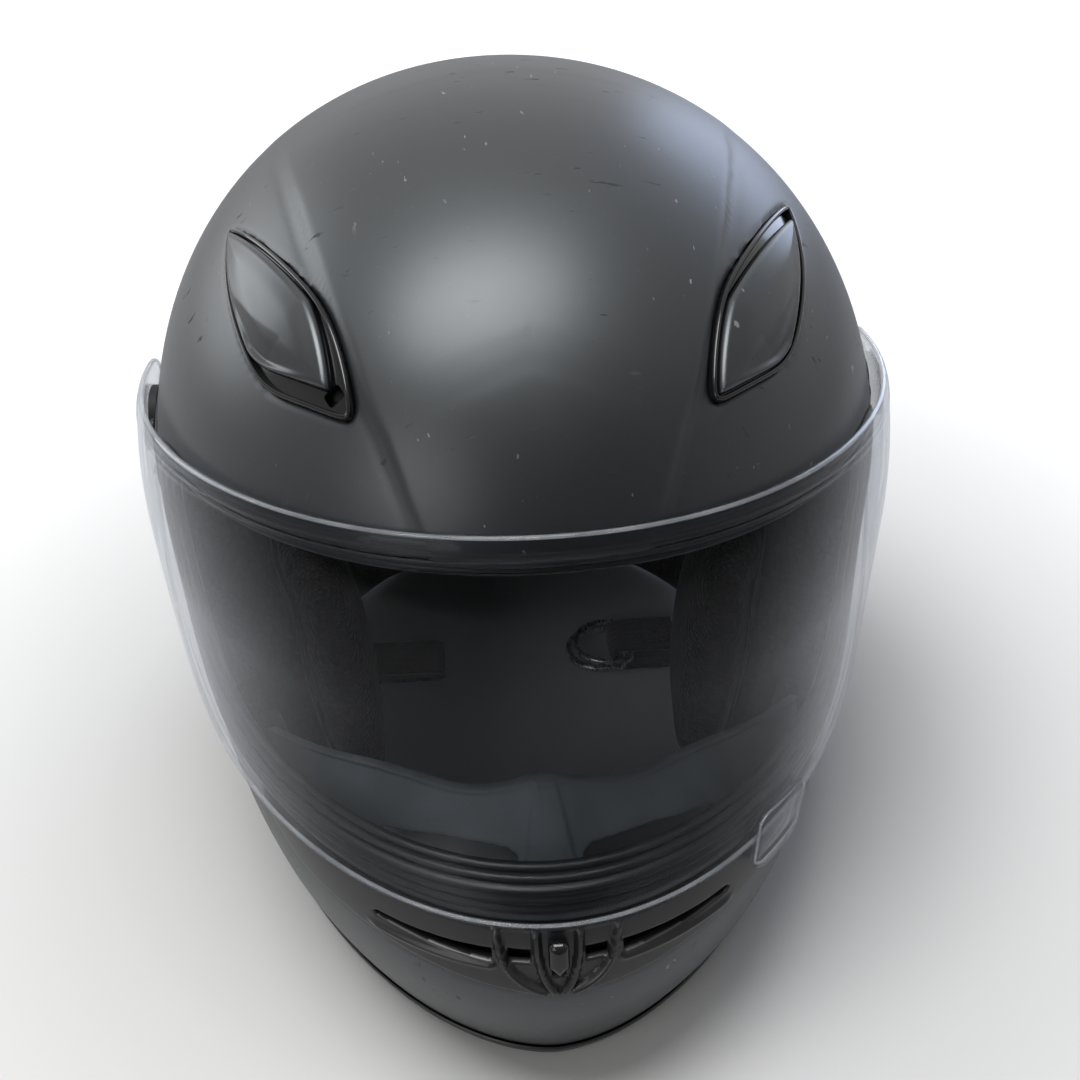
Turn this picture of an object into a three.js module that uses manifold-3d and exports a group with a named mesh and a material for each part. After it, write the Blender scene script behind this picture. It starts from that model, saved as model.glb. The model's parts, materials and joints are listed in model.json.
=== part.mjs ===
// Full-face motorcycle helmet, millimetres, +Z up, facing -Y, wearer's left at +X.
// Modelled about the widest station of the shell, then set with its bounding box centred over
// the origin and its lower edge on z = 0. Right-hand pieces are drawn at -X and mirrored.
import * as THREE from 'three';
import { mergeVertices } from 'three/addons/utils/BufferGeometryUtils.js';
import Module from 'manifold-3d';

const wasm = await Module();
wasm.setup();

// ---------------------------------------------------------------- driving dimensions

// Outer skin of the shell.
const shellHalfWidth = 127;
const shellHeight = 263.5;
const widestHeight = 140;
const browReach = 160.5;
const rearReach = 158;
const crownPower = 2.14;
const browPower = 2.04;
const chinPower = 1.76;
const chinBulge = 32.7;
const chinBulgeHeight = 51.6;
const chinBulgeSpread = 55;
const sideTuck = 17;
const rearTuck = 45;
const sideArch = 8;
const archStart = 0.4;

// Walls, seams and clearances.
const shellWall = 3.5;
const seam = 0.3;
const layerGap = 0.5;
const runningGap = 0.4;
const trimWall = 1.3;
const trimHeight = 8;

// Impact liner and comfort parts.
const linerSide = 31;
const linerEnds = 40;
const linerTop = 36;
const linerBottom = 18;
const strapBayFront = -14;
const strapBayTop = 54;
const chinLinerWall = 16;
const chinLinerTop = 73;
const chinLinerBottom = 18;
const chinLinerRear = 86;
const comfortThickness = 9;
const comfortBottom = 58;
const padBottom = 24;
const padTop = 118;
const padThickness = 28;
const padPlateWall = 1.5;
const neckRollThickness = 20;
const neckRollBottom = 10;

// Visor, its outline in side view, and the eye port that it covers.
const visorWall = 2.2;
const visorGap = 1.8;
const visorEarFlare = 3;
const pivotY = 0;
const pivotDrop = 116.5;
const pivotZ = shellHeight - pivotDrop;
const earRadius = 21.6;
const visorBottom = 81;
const visorTopFall = 8.9;
const browDrop = 61.5;
const browTop = shellHeight - browDrop;
const visorLapTop = 8.5;
const visorLapBottom = 7;
const portRear = -52;
const portUpperRound = 20;
const portLowerRound = 46;
const portRoundPull = 0.35;
const tabInner = 61;
const tabOuter = 81;
const tabDrop = 10;
const tabRise = 9;
const tabWall = 3.4;
const tabInset = 0.8;
const gasketLip = 1;
const gasketFlange = 5;
const gasketInset = 2.5;

// Visor base plates and what they carry.
const plateRecess = 1.6;
const plateWall = 2.5;
const plateRadius = 20;
const plateNose = -44;
const bossRadius = 9;
const collarRadius = 12;
const screwHeadRadius = 3.5;
const screwHeadDepth = 1.4;
const screwShankRadius = 1.7;
const plateScrews = [[-34, pivotZ + 5], [2, pivotZ + 16.5]];
const leverMiddle = [-20, pivotZ + 1];
const leverLength = 13;
const leverWidth = 6;
const leverWall = 1.3;
const leverPinRadius = 1.5;
const springRadius = 0.7;
const springLength = 8;

// Top vents: leaf-shaped, each shutter running on an arc.
const ventBearing = -137;
const ventDrop = 33.5;
const ventHeight = shellHeight - ventDrop;
const ventSplay = 11;
const ventArc = 168;
const ventCrossArc = 105;
const ventTravel = 8;
const ventRecess = 1.8;
const ventRim = 2.6;
const ventRimRise = 2.4;
const ventShutterWall = 2.6;
const ventKeyHalf = 9;

// Chin vent.
const coverBelowVisor = 1;
const coverTop = visorBottom - coverBelowVisor;
const coverCentreBottom = 58;
const coverHalfWidth = 88;
const coverRows = 3;
const coverRecess = 1.5;
const coverProud = 1.5;
const knobWidth = 6;
const knobHeight = 11;
const knobRise = 2.8;
const knobZ = 71.5;
const chinVentTravel = 4.5;
const stemWidth = 3;
const stemHeight = 3.2;
const slotHeight = 4;
const slotZ = 71;
const slotInner = 19;
const slotOuter = 52;
const shutterWall = 1.6;
const shutterHalfHeight = 6;

// Rear exhaust cover.
const exhaustDrop = 67.5;
const exhaustZ = shellHeight - exhaustDrop;
const exhaustHalfHeight = 20;
const exhaustHalfAngle = 22;
const exhaustRise = 6;
const exhaustWall = 1.8;

// Retention straps.
const strapWidth = 22;
const strapWall = 2.2;
const strapY = 17;
const strapFloor = 3;
const strapSlack = 0.6;
const anchorTop = 52;
const anchorBottom = 28;
const anchorWall = 2;
const rivetZ = 40;
const rivetShankRadius = 3;
const rivetHeadRadius = 6.5;
const rivetHeadHeight = 1.6;
const rivetSeatDepth = 0.8;
const ringBar = 3;
const ringInnerWidth = 24;
const ringReach = 24;
const ringStack = 3.8;
const ringSetback = 3;
const shortStrapEnd = 46;
const longStrapEnd = -36;
const longStrapReturn = -84;
const snapRadius = 6.5;
const snapHeight = 3;

// Facets of the model: round the helmet, from the rim to the widest station, and over the crown.
const facetCount = 36;
const wallFacetShares = [0, 0.4, 0.7, 1, 1.3, 1.6, 2.1];
const crownFacets = 8;
const facetAngle = 360 / facetCount;

const degrees = Math.PI / 180;
const farAway = 400;

// ---------------------------------------------------------------- materials

function finish(colour, roughness, metalness = 0) {
  return new THREE.MeshStandardMaterial({ color: colour, roughness, metalness });
}

const mattePaint = finish('#17181b', 0.5);
const glossPlastic = finish('#0b0b0d', 0.12);
const satinPlastic = finish('#1b1b1d', 0.4);
const innerPlastic = finish('#222225', 0.6);
const clearVisor = finish('#7d8488', 0.04);
const sealRubber = finish('#161617', 0.75);
const foam = finish('#38393c', 0.9);
const knit = finish('#121213', 0.95);
const webbing = finish('#101011', 0.85);
const steel = finish('#b4b7bb', 0.28, 1);

// ---------------------------------------------------------------- solids and meshes

function clamp(value, low, high) {
  return Math.min(Math.max(value, low), high);
}

function range(from, to, steps) {
  return Array.from({ length: steps + 1 }, (_, k) => from + ((to - from) * k) / steps);
}

function signedVolume(points, faces) {
  const cross = new THREE.Vector3();
  return faces.reduce((sum, [a, b, c]) => sum + points[a].dot(cross.crossVectors(points[b], points[c])), 0);
}

// A manifold solid from points and triangles, turned to face outwards.
function closedSolid(points, faces) {
  const outward = signedVolume(points, faces) > 0 ? faces : faces.map(([a, b, c]) => [a, c, b]);
  const geometry = new THREE.BufferGeometry().setFromPoints(points);
  geometry.setIndex(outward.flat());
  return toSolid(geometry);
}

function toSolid(geometry) {
  const bare = geometry.clone();
  bare.deleteAttribute('normal');
  bare.deleteAttribute('uv');
  const merged = mergeVertices(bare, 1e-4);
  const index = merged.index.array;
  const kept = [];
  for (let k = 0; k < index.length; k += 3) {
    const [a, b, c] = [index[k], index[k + 1], index[k + 2]];
    if (a !== b && b !== c && c !== a) {
      kept.push(a, b, c);
    }
  }
  const vertProperties = merged.attributes.position.array;
  return new wasm.Manifold(new wasm.Mesh({ numProp: 3, vertProperties, triVerts: Uint32Array.from(kept) }));
}

function toGeometry(solid) {
  const mesh = solid.getMesh();
  const geometry = new THREE.BufferGeometry();
  geometry.setAttribute('position', new THREE.BufferAttribute(mesh.vertProperties, 3));
  geometry.setIndex(new THREE.BufferAttribute(mesh.triVerts, 1));
  geometry.computeVertexNormals();
  return geometry;
}

function mirroredSolid(solid) {
  return toSolid(mirrored(toGeometry(solid)));
}

function mirrored(geometry) {
  const copy = geometry.clone().scale(-1, 1, 1);
  const index = copy.index.array;
  for (let k = 0; k < index.length; k += 3) {
    [index[k + 1], index[k + 2]] = [index[k + 2], index[k + 1]];
  }
  copy.computeVertexNormals();
  return copy;
}

// A slab from rows of facing points: outer[k] faces inner[k] in every row.
function slab(rows, closed = false) {
  const count = rows[0].outer.length;
  const points = rows.flatMap((row) => [...row.outer, ...row.inner]);
  const at = (row, k) => (row % rows.length) * 2 * count + k;
  const faces = [];
  const quad = (a, b, c, d) => faces.push([a, b, c], [a, c, d]);
  const spans = closed ? rows.length : rows.length - 1;
  for (let i = 0; i < spans; i += 1) {
    for (let k = 0; k < count - 1; k += 1) {
      quad(at(i, k), at(i + 1, k), at(i + 1, k + 1), at(i, k + 1));
      quad(at(i, count + k + 1), at(i + 1, count + k + 1), at(i + 1, count + k), at(i, count + k));
    }
    quad(at(i, 0), at(i, count), at(i + 1, count), at(i + 1, 0));
    quad(at(i, count - 1), at(i + 1, count - 1), at(i + 1, 2 * count - 1), at(i, 2 * count - 1));
  }
  if (!closed) {
    const last = rows.length - 1;
    for (let k = 0; k < count - 1; k += 1) {
      quad(at(0, k), at(0, k + 1), at(0, count + k + 1), at(0, count + k));
      quad(at(last, k + 1), at(last, k), at(last, count + k), at(last, count + k + 1));
    }
  }
  return closedSolid(points, faces);
}

const right = new THREE.Vector3(1, 0, 0);
const back = new THREE.Vector3(0, 1, 0);
const up = new THREE.Vector3(0, 0, 1);
// Outlines drawn in (y, z) and pushed along +X.
const sideView = new THREE.Matrix4().makeBasis(back, up, right);
// Outlines drawn in (x, z) and pushed along -Y.
const frontView = new THREE.Matrix4().makeBasis(right, up, back.clone().negate());

function prism(shape, start, end, basis, curveSegments = 10) {
  const geometry = new THREE.ExtrudeGeometry(shape, { depth: end - start, bevelEnabled: false, curveSegments });
  geometry.translate(0, 0, start);
  geometry.applyMatrix4(basis);
  return toSolid(geometry);
}

function box(x0, x1, y0, y1, z0, z1) {
  const geometry = new THREE.BoxGeometry(x1 - x0, y1 - y0, z1 - z0);
  geometry.translate((x0 + x1) / 2, (y0 + y1) / 2, (z0 + z1) / 2);
  return toSolid(geometry);
}

// A round bar along X at (y, z).
function barAlongX(radius, x0, x1, y, z, sides = 16) {
  const geometry = new THREE.CylinderGeometry(radius, radius, x1 - x0, sides);
  geometry.rotateZ(-90 * degrees);
  geometry.translate((x0 + x1) / 2, y, z);
  return toSolid(geometry);
}

// A round bar along a frame's local z.
function bar(basis, radius, from, to, sides = 12) {
  const geometry = new THREE.CylinderGeometry(radius, radius, to - from, sides);
  geometry.rotateX(90 * degrees);
  geometry.translate(0, 0, (from + to) / 2);
  geometry.applyMatrix4(basis);
  return toSolid(geometry);
}

function rectangle(x0, x1, y0, y1) {
  return new THREE.Shape([
    new THREE.Vector2(x0, y0),
    new THREE.Vector2(x1, y0),
    new THREE.Vector2(x1, y1),
    new THREE.Vector2(x0, y1),
  ]);
}

function add(...solids) {
  return solids.reduce((sum, solid) => sum.add(solid));
}

function cut(body, ...tools) {
  return tools.reduce((rest, tool) => rest.subtract(tool), body);
}

function distanceToEdge(point, from, to) {
  const run = to.clone().sub(from);
  const share = clamp(point.clone().sub(from).dot(run) / run.lengthSq(), 0, 1);
  return point.distanceTo(from.clone().addScaledVector(run, share));
}

// Moves an outline inwards by the given distance, or outwards when it is negative. Points that
// a narrow corner leaves no room for are dropped.
function inset(points, distance) {
  const count = points.length;
  const winding = THREE.ShapeUtils.area(points) > 0 ? 1 : -1;
  const next = (k) => points[(k + 1) % count];
  const moved = points.map((point, k) => {
    const before = point.clone().sub(points[(k + count - 1) % count]).normalize();
    const after = next(k).clone().sub(point).normalize();
    const normal = new THREE.Vector2(-before.y - after.y, before.x + after.x).normalize();
    const lean = Math.max(normal.dot(new THREE.Vector2(-before.y, before.x)), 0.2);
    return point.clone().addScaledVector(normal, (winding * distance) / lean);
  });
  const room = 0.99 * distance;
  const hasRoom = (place) => points.every((point, k) => distanceToEdge(place, point, next(k)) >= room);
  return moved.filter(hasRoom);
}

// ---------------------------------------------------------------- the helmet's skin

// A layer is a surface parallel to the outer skin, given by how far it lies outside it. Its
// flare stands it off further at the helmet's two sides only.
function layer(side, ends = side, top = ends, flare = 0) {
  return { side, ends, top, flare };
}

function grown(base, amount) {
  return layer(base.side + amount, base.ends + amount, base.top + amount, base.flare);
}

function station(z, at) {
  const rise = clamp((z - widestHeight) / (shellHeight + at.top - widestHeight), 0, 1);
  const cap = (1 - rise ** crownPower) ** (1 / crownPower);
  const drop = clamp((widestHeight - z) / widestHeight, 0, 1);
  const bulge = chinBulge * Math.exp(-(((z - chinBulgeHeight) / chinBulgeSpread) ** 2));
  return {
    half: (shellHalfWidth + at.side) * cap - sideTuck * drop ** 2,
    front: (browReach + at.ends) * cap + bulge * (z > widestHeight ? cap : 1),
    rear: (rearReach + at.ends) * cap - rearTuck * drop ** 2,
    power: chinPower + (browPower - chinPower) * clamp(z / widestHeight, 0, 1),
  };
}

// theta runs round the helmet: -90 degrees at the chin, 0 at the wearer's left.
function smoothSkin(theta, z, at) {
  const { half, front, rear, power } = station(z, at);
  const c = Math.cos(theta);
  const s = Math.sin(theta);
  const x = Math.sign(c) * (half * Math.abs(c) ** (2 / power) + at.flare * Math.abs(c) ** 6);
  const y = s < 0 ? -front * Math.abs(s) ** (2 / power) : rear * s;
  return new THREE.Vector3(x, y, z);
}

// Heights at which every layer has its facets' edges.
function facetHeights(at) {
  const wall = [...wallFacetShares.map((share) => share * chinBulgeHeight), widestHeight];
  const crown = range(0, 90, crownFacets).slice(1);
  const rise = shellHeight + at.top - widestHeight;
  return [...wall, ...crown.map((angle) => widestHeight + rise * Math.sin(angle * degrees) ** (2 / crownPower))];
}

// The skin as flat facets that line up from layer to layer, so that layers keep their gaps.
function skin(theta, z, at) {
  const turn = (theta / degrees + 90) / facetAngle;
  const before = Math.floor(turn + 1e-9);
  const bearings = [before, before + 1].map((k) => (k * facetAngle - 90) * degrees);
  const heights = facetHeights(at);
  const last = heights.length - 1;
  const upper = z >= heights[last] ? last : Math.max(heights.findIndex((height) => height > z), 1);
  const [low, high] = [heights[upper - 1], heights[upper]];
  const across = (height) => smoothSkin(bearings[0], height, at)
    .lerp(smoothSkin(bearings[1], height, at), turn - before);
  return across(low).lerp(across(high), (z - low) / (high - low));
}

// How far out a layer lies at the wearer's left, at a given y and z.
function sideReach(y, z, at) {
  let low = -85 * degrees;
  let high = 85 * degrees;
  for (let step = 0; step < 30; step += 1) {
    const theta = (low + high) / 2;
    if (skin(theta, z, at).y < y) {
      low = theta;
    } else {
      high = theta;
    }
  }
  return skin(low, z, at).x;
}

// A frame on the wearer's left side: local x to the rear, local y up, local z out of the skin.
function sideFrame(y, z) {
  const centre = new THREE.Vector3(sideReach(y, z, outerSkin), y, z);
  const step = 5;
  const toRear = new THREE.Vector3(sideReach(y + step, z, outerSkin), y + step, z)
    .sub(new THREE.Vector3(sideReach(y - step, z, outerSkin), y - step, z)).normalize();
  const upwards = new THREE.Vector3(sideReach(y, z + step, outerSkin), y, z + step)
    .sub(new THREE.Vector3(sideReach(y, z - step, outerSkin), y, z - step)).normalize();
  const normal = toRear.clone().cross(upwards).normalize();
  return new THREE.Matrix4().makeBasis(toRear, normal.clone().cross(toRear), normal).setPosition(centre);
}

// The bearing, right of the chin's centre, at which the skin is x wide.
function frontBearing(x, z, at) {
  const { half, power } = station(z, at);
  return -Math.acos(clamp((x / half) ** (power / 2), 0, 1));
}

function skinNormal(theta, z, at) {
  const step = 0.01;
  const along = smoothSkin(theta + step, z, at).sub(smoothSkin(theta - step, z, at));
  const upwards = smoothSkin(theta, z + step, at).sub(smoothSkin(theta, z - step, at));
  return along.cross(upwards).normalize();
}

// Height of the lower edge: flat at the chin and the nape, arched over the shoulders.
function edgeHeight(theta) {
  const arch = clamp((Math.abs(Math.cos(theta)) - archStart) / (1 - archStart), 0, 1);
  return sideArch * arch ** 2;
}

// Bearings of the facets' edges between two bearings, and the two themselves, in degrees.
function bearingsBetween(from, to) {
  const first = Math.ceil((from + 90) / facetAngle + 0.05);
  const last = Math.floor((to + 90) / facetAngle - 0.05);
  const between = Array.from({ length: Math.max(last - first + 1, 0) }, (_, k) => (first + k) * facetAngle - 90);
  return [from, ...between, to];
}

const wholeTurn = range(-90, 270, facetCount).slice(0, -1);

// A dome between two layers, open below.
function dome(outside, inside, bottom) {
  const rows = wholeTurn.map((angle) => {
    const theta = angle * degrees;
    const low = bottom(theta);
    const first = facetHeights(outside).findIndex((height) => height > bottom(0) + 1);
    const side = (at) => [low, ...facetHeights(at).slice(first)].map((z) => skin(theta, z, at));
    return { outer: side(outside), inner: side(inside) };
  });
  return slab(rows, true);
}

// A piece of the skin between two layers, two bearings (in degrees) and two heights.
function patch(outside, inside, from, to, low, high) {
  const inBetween = facetHeights(outside).map((height, k) => k).filter((k) => {
    const height = facetHeights(outside)[k];
    return height > low + 1 && height < high - 1;
  });
  const heights = (at) => [low, ...inBetween.map((k) => clamp(facetHeights(at)[k], low, high - 0.5)), high];
  return slab(bearingsBetween(from, to).map((angle) => ({
    outer: heights(outside).map((z) => skin(angle * degrees, z, outside)),
    inner: heights(inside).map((z) => skin(angle * degrees, z, inside)),
  })));
}

// The same with edges that vary round the helmet.
function shapedPatch(outside, inside, angles, low, high, levels) {
  return slab(angles.map((angle) => {
    const theta = angle * degrees;
    const heights = range(low(theta), high(theta), levels);
    return {
      outer: heights.map((z) => skin(theta, z, outside)),
      inner: heights.map((z) => skin(theta, z, inside)),
    };
  }));
}

const outerSkin = layer(0);
const innerSkin = layer(-shellWall);
const linerOutside = layer(-shellWall - layerGap);
const linerInside = layer(-linerSide, -linerEnds, -linerTop);

// ---------------------------------------------------------------- outlines in side view

const visorLean = visorTopFall * degrees;

// Height of the visor's top edge in side view: a straight line that meets the ear's round.
function visorTopAt(y) {
  const touchY = pivotY + earRadius * Math.sin(visorLean);
  const touchZ = pivotZ + earRadius * Math.cos(visorLean);
  return touchZ - (y - touchY) * Math.tan(visorLean);
}

function visorOutline() {
  const lowerEar = 230 * degrees;
  const upperEar = 90 * degrees - visorLean;
  const earY = pivotY + earRadius * Math.cos(lowerEar);
  const earZ = pivotZ + earRadius * Math.sin(lowerEar);
  const shape = new THREE.Shape();
  shape.moveTo(-farAway, visorBottom);
  shape.lineTo(pivotY - 128, visorBottom);
  shape.bezierCurveTo(pivotY - 92, visorBottom, pivotY - 44, visorBottom + 15, earY, earZ);
  shape.absarc(pivotY, pivotZ, earRadius, lowerEar, upperEar + 360 * degrees, false);
  shape.lineTo(-farAway, visorTopAt(-farAway));
  return shape;
}

function portOutline(grow) {
  const low = visorBottom + visorLapBottom - grow;
  const rear = portRear + grow;
  const topAt = (y) => visorTopAt(y) - visorLapTop + grow;
  const shape = new THREE.Shape();
  const roundRise = Math.min(portLowerRound, topAt(rear) - portUpperRound - 1 - low);
  shape.moveTo(-farAway, low);
  shape.lineTo(portRear - 60, low);
  shape.bezierCurveTo(portRear - 28, low, rear, low + portRoundPull * roundRise, rear, low + roundRise);
  shape.lineTo(rear, topAt(rear) - portUpperRound);
  shape.quadraticCurveTo(rear, topAt(rear), portRear - 26, topAt(portRear - 26));
  shape.lineTo(-farAway, topAt(-farAway));
  return shape;
}

function portPrism(grow) {
  return prism(portOutline(grow), -farAway, farAway, sideView, 4);
}

// ---------------------------------------------------------------- top vents

function ventFrame() {
  const theta = ventBearing * degrees;
  const centre = skin(theta, ventHeight, outerSkin);
  const normal = skinNormal(theta, ventHeight, outerSkin);
  const heading = new THREE.Vector3(-Math.sin(ventSplay * degrees), Math.cos(ventSplay * degrees), 0);
  const along = heading.addScaledVector(normal, -heading.dot(normal)).normalize();
  const across = along.clone().cross(normal);
  return { centre, normal, along, across };
}

const vent = ventFrame();
const ventBasis = new THREE.Matrix4().makeBasis(vent.across, vent.along, vent.normal).setPosition(vent.centre);
const ventAxisPoint = vent.centre.clone().addScaledVector(vent.normal, -ventArc);
const ventSwing = ventTravel / ventArc;

// The vent's own surface: an arc of ventArc along its run, gently round across it.
function ventSlab(inside, outside, fromAlong, toAlong, fromAcross, toAcross, steps, levels) {
  const point = (along, across, off) => {
    const radius = ventArc + off - across ** 2 / (2 * ventCrossArc);
    return ventAxisPoint.clone()
      .addScaledVector(vent.across, across)
      .addScaledVector(vent.along, radius * Math.sin(along / ventArc))
      .addScaledVector(vent.normal, radius * Math.cos(along / ventArc));
  };
  const rows = range(fromAlong, toAlong, steps).map((along) => ({
    outer: range(fromAcross, toAcross, levels).map((across) => point(along, across, outside)),
    inner: range(fromAcross, toAcross, levels).map((across) => point(along, across, inside)),
  }));
  return slab(rows);
}

function leafPoints() {
  const shape = new THREE.Shape();
  shape.moveTo(-9, 53);
  shape.bezierCurveTo(-16, 32, -19.5, 8, -20.5, -12);
  shape.quadraticCurveTo(-21, -23, -15.5, -31);
  shape.lineTo(-3.5, -50);
  shape.bezierCurveTo(5, -37, 8.5, -22, 7.4, -11);
  shape.bezierCurveTo(5.5, 8, -2, 36, -9, 53);
  const points = shape.getPoints(3);
  return points.slice(0, -1);
}

function leafPrism(margin) {
  return prism(new THREE.Shape(inset(leafPoints(), margin)), -20, 20, ventBasis);
}

function wholeVentSlab(inside, outside) {
  return ventSlab(inside, outside, -62, 66, -32, 20, 8, 2);
}

function turnedAboutVent(solid, angle) {
  const matrix = new THREE.Matrix4().makeTranslation(ventAxisPoint.x, ventAxisPoint.y, ventAxisPoint.z)
    .multiply(new THREE.Matrix4().makeRotationAxis(vent.across, -angle))
    .multiply(new THREE.Matrix4().makeTranslation(-ventAxisPoint.x, -ventAxisPoint.y, -ventAxisPoint.z));
  return toSolid(toGeometry(solid).applyMatrix4(matrix));
}

function ventIntake(margin) {
  return prism(rectangle(-7 - margin, 1 + margin, -43.5 - margin, -37.5 + margin), -70, 20, ventBasis);
}

function ventBezel() {
  const floor = 0;
  const body = leafPrism(0).intersect(wholeVentSlab(-ventRecess + seam, ventRimRise));
  const tray = leafPrism(ventRim).intersect(wholeVentSlab(floor, 12));
  const keySlot = ventSlab(-6, 4, -ventKeyHalf - ventTravel - 1, ventKeyHalf + ventTravel + 1, -9.6, -4.4, 4, 1);
  return cut(body, tray, keySlot, ventIntake(0));
}

// The shutter in its closed place, at the lower end of its run.
function ventShutter() {
  const hole = leafPrism(ventRim + seam);
  const sweep = turnedAboutVent(hole, -ventSwing);
  const top = hole.intersect(sweep).intersect(wholeVentSlab(seam, seam + ventShutterWall));
  const key = ventSlab(-1.1, 1.2, -ventKeyHalf, ventKeyHalf, -9, -5, 3, 1);
  return top.add(key);
}

function ventRecessTool() {
  return leafPrism(-seam).intersect(wholeVentSlab(-ventRecess, 12));
}

// ---------------------------------------------------------------- chin vent

// Lower edge of the chin vent's cover, rising outwards and closing at its ends.
function coverBottomAt(x) {
  const run = Math.abs(x) / 76;
  const close = clamp((Math.abs(x) - 72) / (coverHalfWidth - 72), 0, 1);
  return coverCentreBottom + 8.5 * run ** 1.2 + (coverTop - coverCentreBottom - 14) * close ** 2;
}

function coverPatch(inside, outside, margin) {
  const reach = coverHalfWidth + 2 * margin;
  const edge = -frontBearing(reach, slotZ, outerSkin) / degrees;
  const low = (theta) => coverBottomAt(skin(theta, slotZ, outerSkin).x) - margin;
  const angles = bearingsBetween(edge - 180, -edge);
  return shapedPatch(outside, inside, angles, low, () => coverTop + margin, coverRows);
}

// Frame on the chin's front: its local y runs up the slope and its local z points out.
function chinFrame() {
  const theta = -90 * degrees;
  const normal = skinNormal(theta, slotZ, outerSkin);
  const slope = normal.clone().cross(right).normalize();
  const upSlope = slope.z > 0 ? slope : slope.negate();
  const centre = skin(theta, slotZ, outerSkin);
  return { centre, normal, upSlope };
}

const chin = chinFrame();
const chinBasis = new THREE.Matrix4().makeBasis(right, chin.upSlope, chin.normal).setPosition(chin.centre);

function sideSlot(sign) {
  const shape = new THREE.Shape();
  shape.moveTo(sign * slotInner, slotZ - slotHeight / 2);
  shape.lineTo(sign * slotOuter, slotZ - slotHeight / 4);
  shape.lineTo(sign * slotOuter, slotZ + slotHeight / 4);
  shape.lineTo(sign * slotInner, slotZ + slotHeight / 2);
  return prism(shape, 0, farAway, frontView);
}

function centreSlot(sign) {
  const inner = Math.min(sign * 8, sign * 14.5);
  return prism(rectangle(inner, inner + 6.5, slotZ - slotHeight / 2, slotZ + slotHeight / 2), 0, farAway, frontView);
}

function chinSlots() {
  return add(sideSlot(1), sideSlot(-1), centreSlot(1), centreSlot(-1));
}

function stemSlot() {
  const half = stemWidth / 2 + runningGap;
  const low = knobZ - slotZ - stemHeight / 2 - chinVentTravel - 2 * runningGap;
  const high = knobZ - slotZ + stemHeight / 2 + runningGap;
  return prism(rectangle(-half, half, low, high), -shellWall - 4, 10, chinBasis);
}

function chinVentCover() {
  return cut(coverPatch(layer(-coverRecess + seam), layer(coverProud), 0), chinSlots(), stemSlot());
}

function chinVentSlider() {
  const middle = knobZ - slotZ;
  const half = knobWidth / 2;
  const tip = middle - knobHeight / 2;
  const shape = new THREE.Shape();
  shape.moveTo(0, tip);
  shape.lineTo(half, tip + 3);
  shape.lineTo(half, middle + knobHeight / 2 - 1.2);
  shape.lineTo(half - 1.2, middle + knobHeight / 2);
  shape.lineTo(-half + 1.2, middle + knobHeight / 2);
  shape.lineTo(-half, middle + knobHeight / 2 - 1.2);
  shape.lineTo(-half, tip + 3);
  const base = coverProud + runningGap;
  const knob = prism(shape, base, base + knobRise, chinBasis);
  const stemShape = rectangle(-stemWidth / 2, stemWidth / 2, middle - stemHeight / 2, middle + stemHeight / 2);
  return knob.add(prism(stemShape, -shellWall - 1, base + 0.5, chinBasis));
}

const shutterFront = shellWall + 2;

// Curved like the shell's inside at slot height, and straight along the slide.
function chinVentShutter() {
  const outside = layer(-shutterFront);
  const inside = layer(-shutterFront - shutterWall);
  const edge = -frontBearing(slotOuter + 6, slotZ, outerSkin) / degrees;
  const middle = knobZ - slotZ;
  const rows = bearingsBetween(edge - 180, -edge).map((angle) => {
    const along = (at) => range(-shutterHalfHeight, shutterHalfHeight, 1)
      .map((run) => skin(angle * degrees, slotZ, at).addScaledVector(chin.upSlope, run + middle));
    return { outer: along(outside), inner: along(inside) };
  });
  return cut(slab(rows), chinSlots());
}

// ---------------------------------------------------------------- visor and its base plates

const visorInside = layer(visorGap, visorGap, visorGap, visorEarFlare);
const visorOutside = grown(visorInside, visorWall);
const plateTop = plateWall - plateRecess + seam;
const bossTop = Math.min(...reachesRound(bossRadius + 1, visorInside)) - runningGap;
const collarBottom = Math.max(...reachesRound(bossRadius + 1, layer(plateTop))) + runningGap;

// How far out a layer lies at spots round a circle about the visor's pivot.
function reachesRound(radius, at) {
  return range(0, 360, 12).map((angle) => sideReach(
    pivotY + radius * Math.cos(angle * degrees),
    pivotZ + radius * Math.sin(angle * degrees),
    at,
  ));
}

function visorTab() {
  const low = visorBottom - tabDrop;
  const high = visorBottom + tabRise;
  const from = frontBearing(tabInner, visorBottom, visorOutside) / degrees;
  const to = frontBearing(tabOuter, visorBottom, visorOutside) / degrees;
  const inside = grown(visorInside, tabInset);
  const lowerEdge = (theta) => {
    const across = clamp((theta / degrees - from) / (to - from), 0, 1);
    return low + 5 * (1 - across) ** 2;
  };
  return shapedPatch(grown(visorInside, tabWall), inside, range(from, to, 5), lowerEdge, () => high, 2);
}

function visor() {
  const blank = patch(visorOutside, visorInside, -190.5, 10.5, visorBottom - 6, browTop);
  const shield = blank.intersect(prism(visorOutline(), -farAway, farAway, sideView, 9));
  const collarTop = Math.min(...reachesRound(collarRadius, grown(visorInside, visorWall / 2)));
  const ring = barAlongX(collarRadius, collarBottom, collarTop, pivotY, pivotZ);
  const bore = barAlongX(bossRadius + runningGap, collarBottom - 1, bossTop + runningGap, pivotY, pivotZ);
  const collar = ring.subtract(bore);
  const farCollar = mirroredSolid(collar);
  return add(shield, visorTab(), collar, farCollar);
}

function plateOutline(grow) {
  const radius = plateRadius + grow;
  const nose = 9 + grow;
  const shape = new THREE.Shape();
  shape.absarc(pivotY, pivotZ, radius, -112 * degrees, 100 * degrees, false);
  shape.absarc(plateNose + 9, pivotZ + 2, nose, 100 * degrees, 248 * degrees, false);
  return shape;
}

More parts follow.
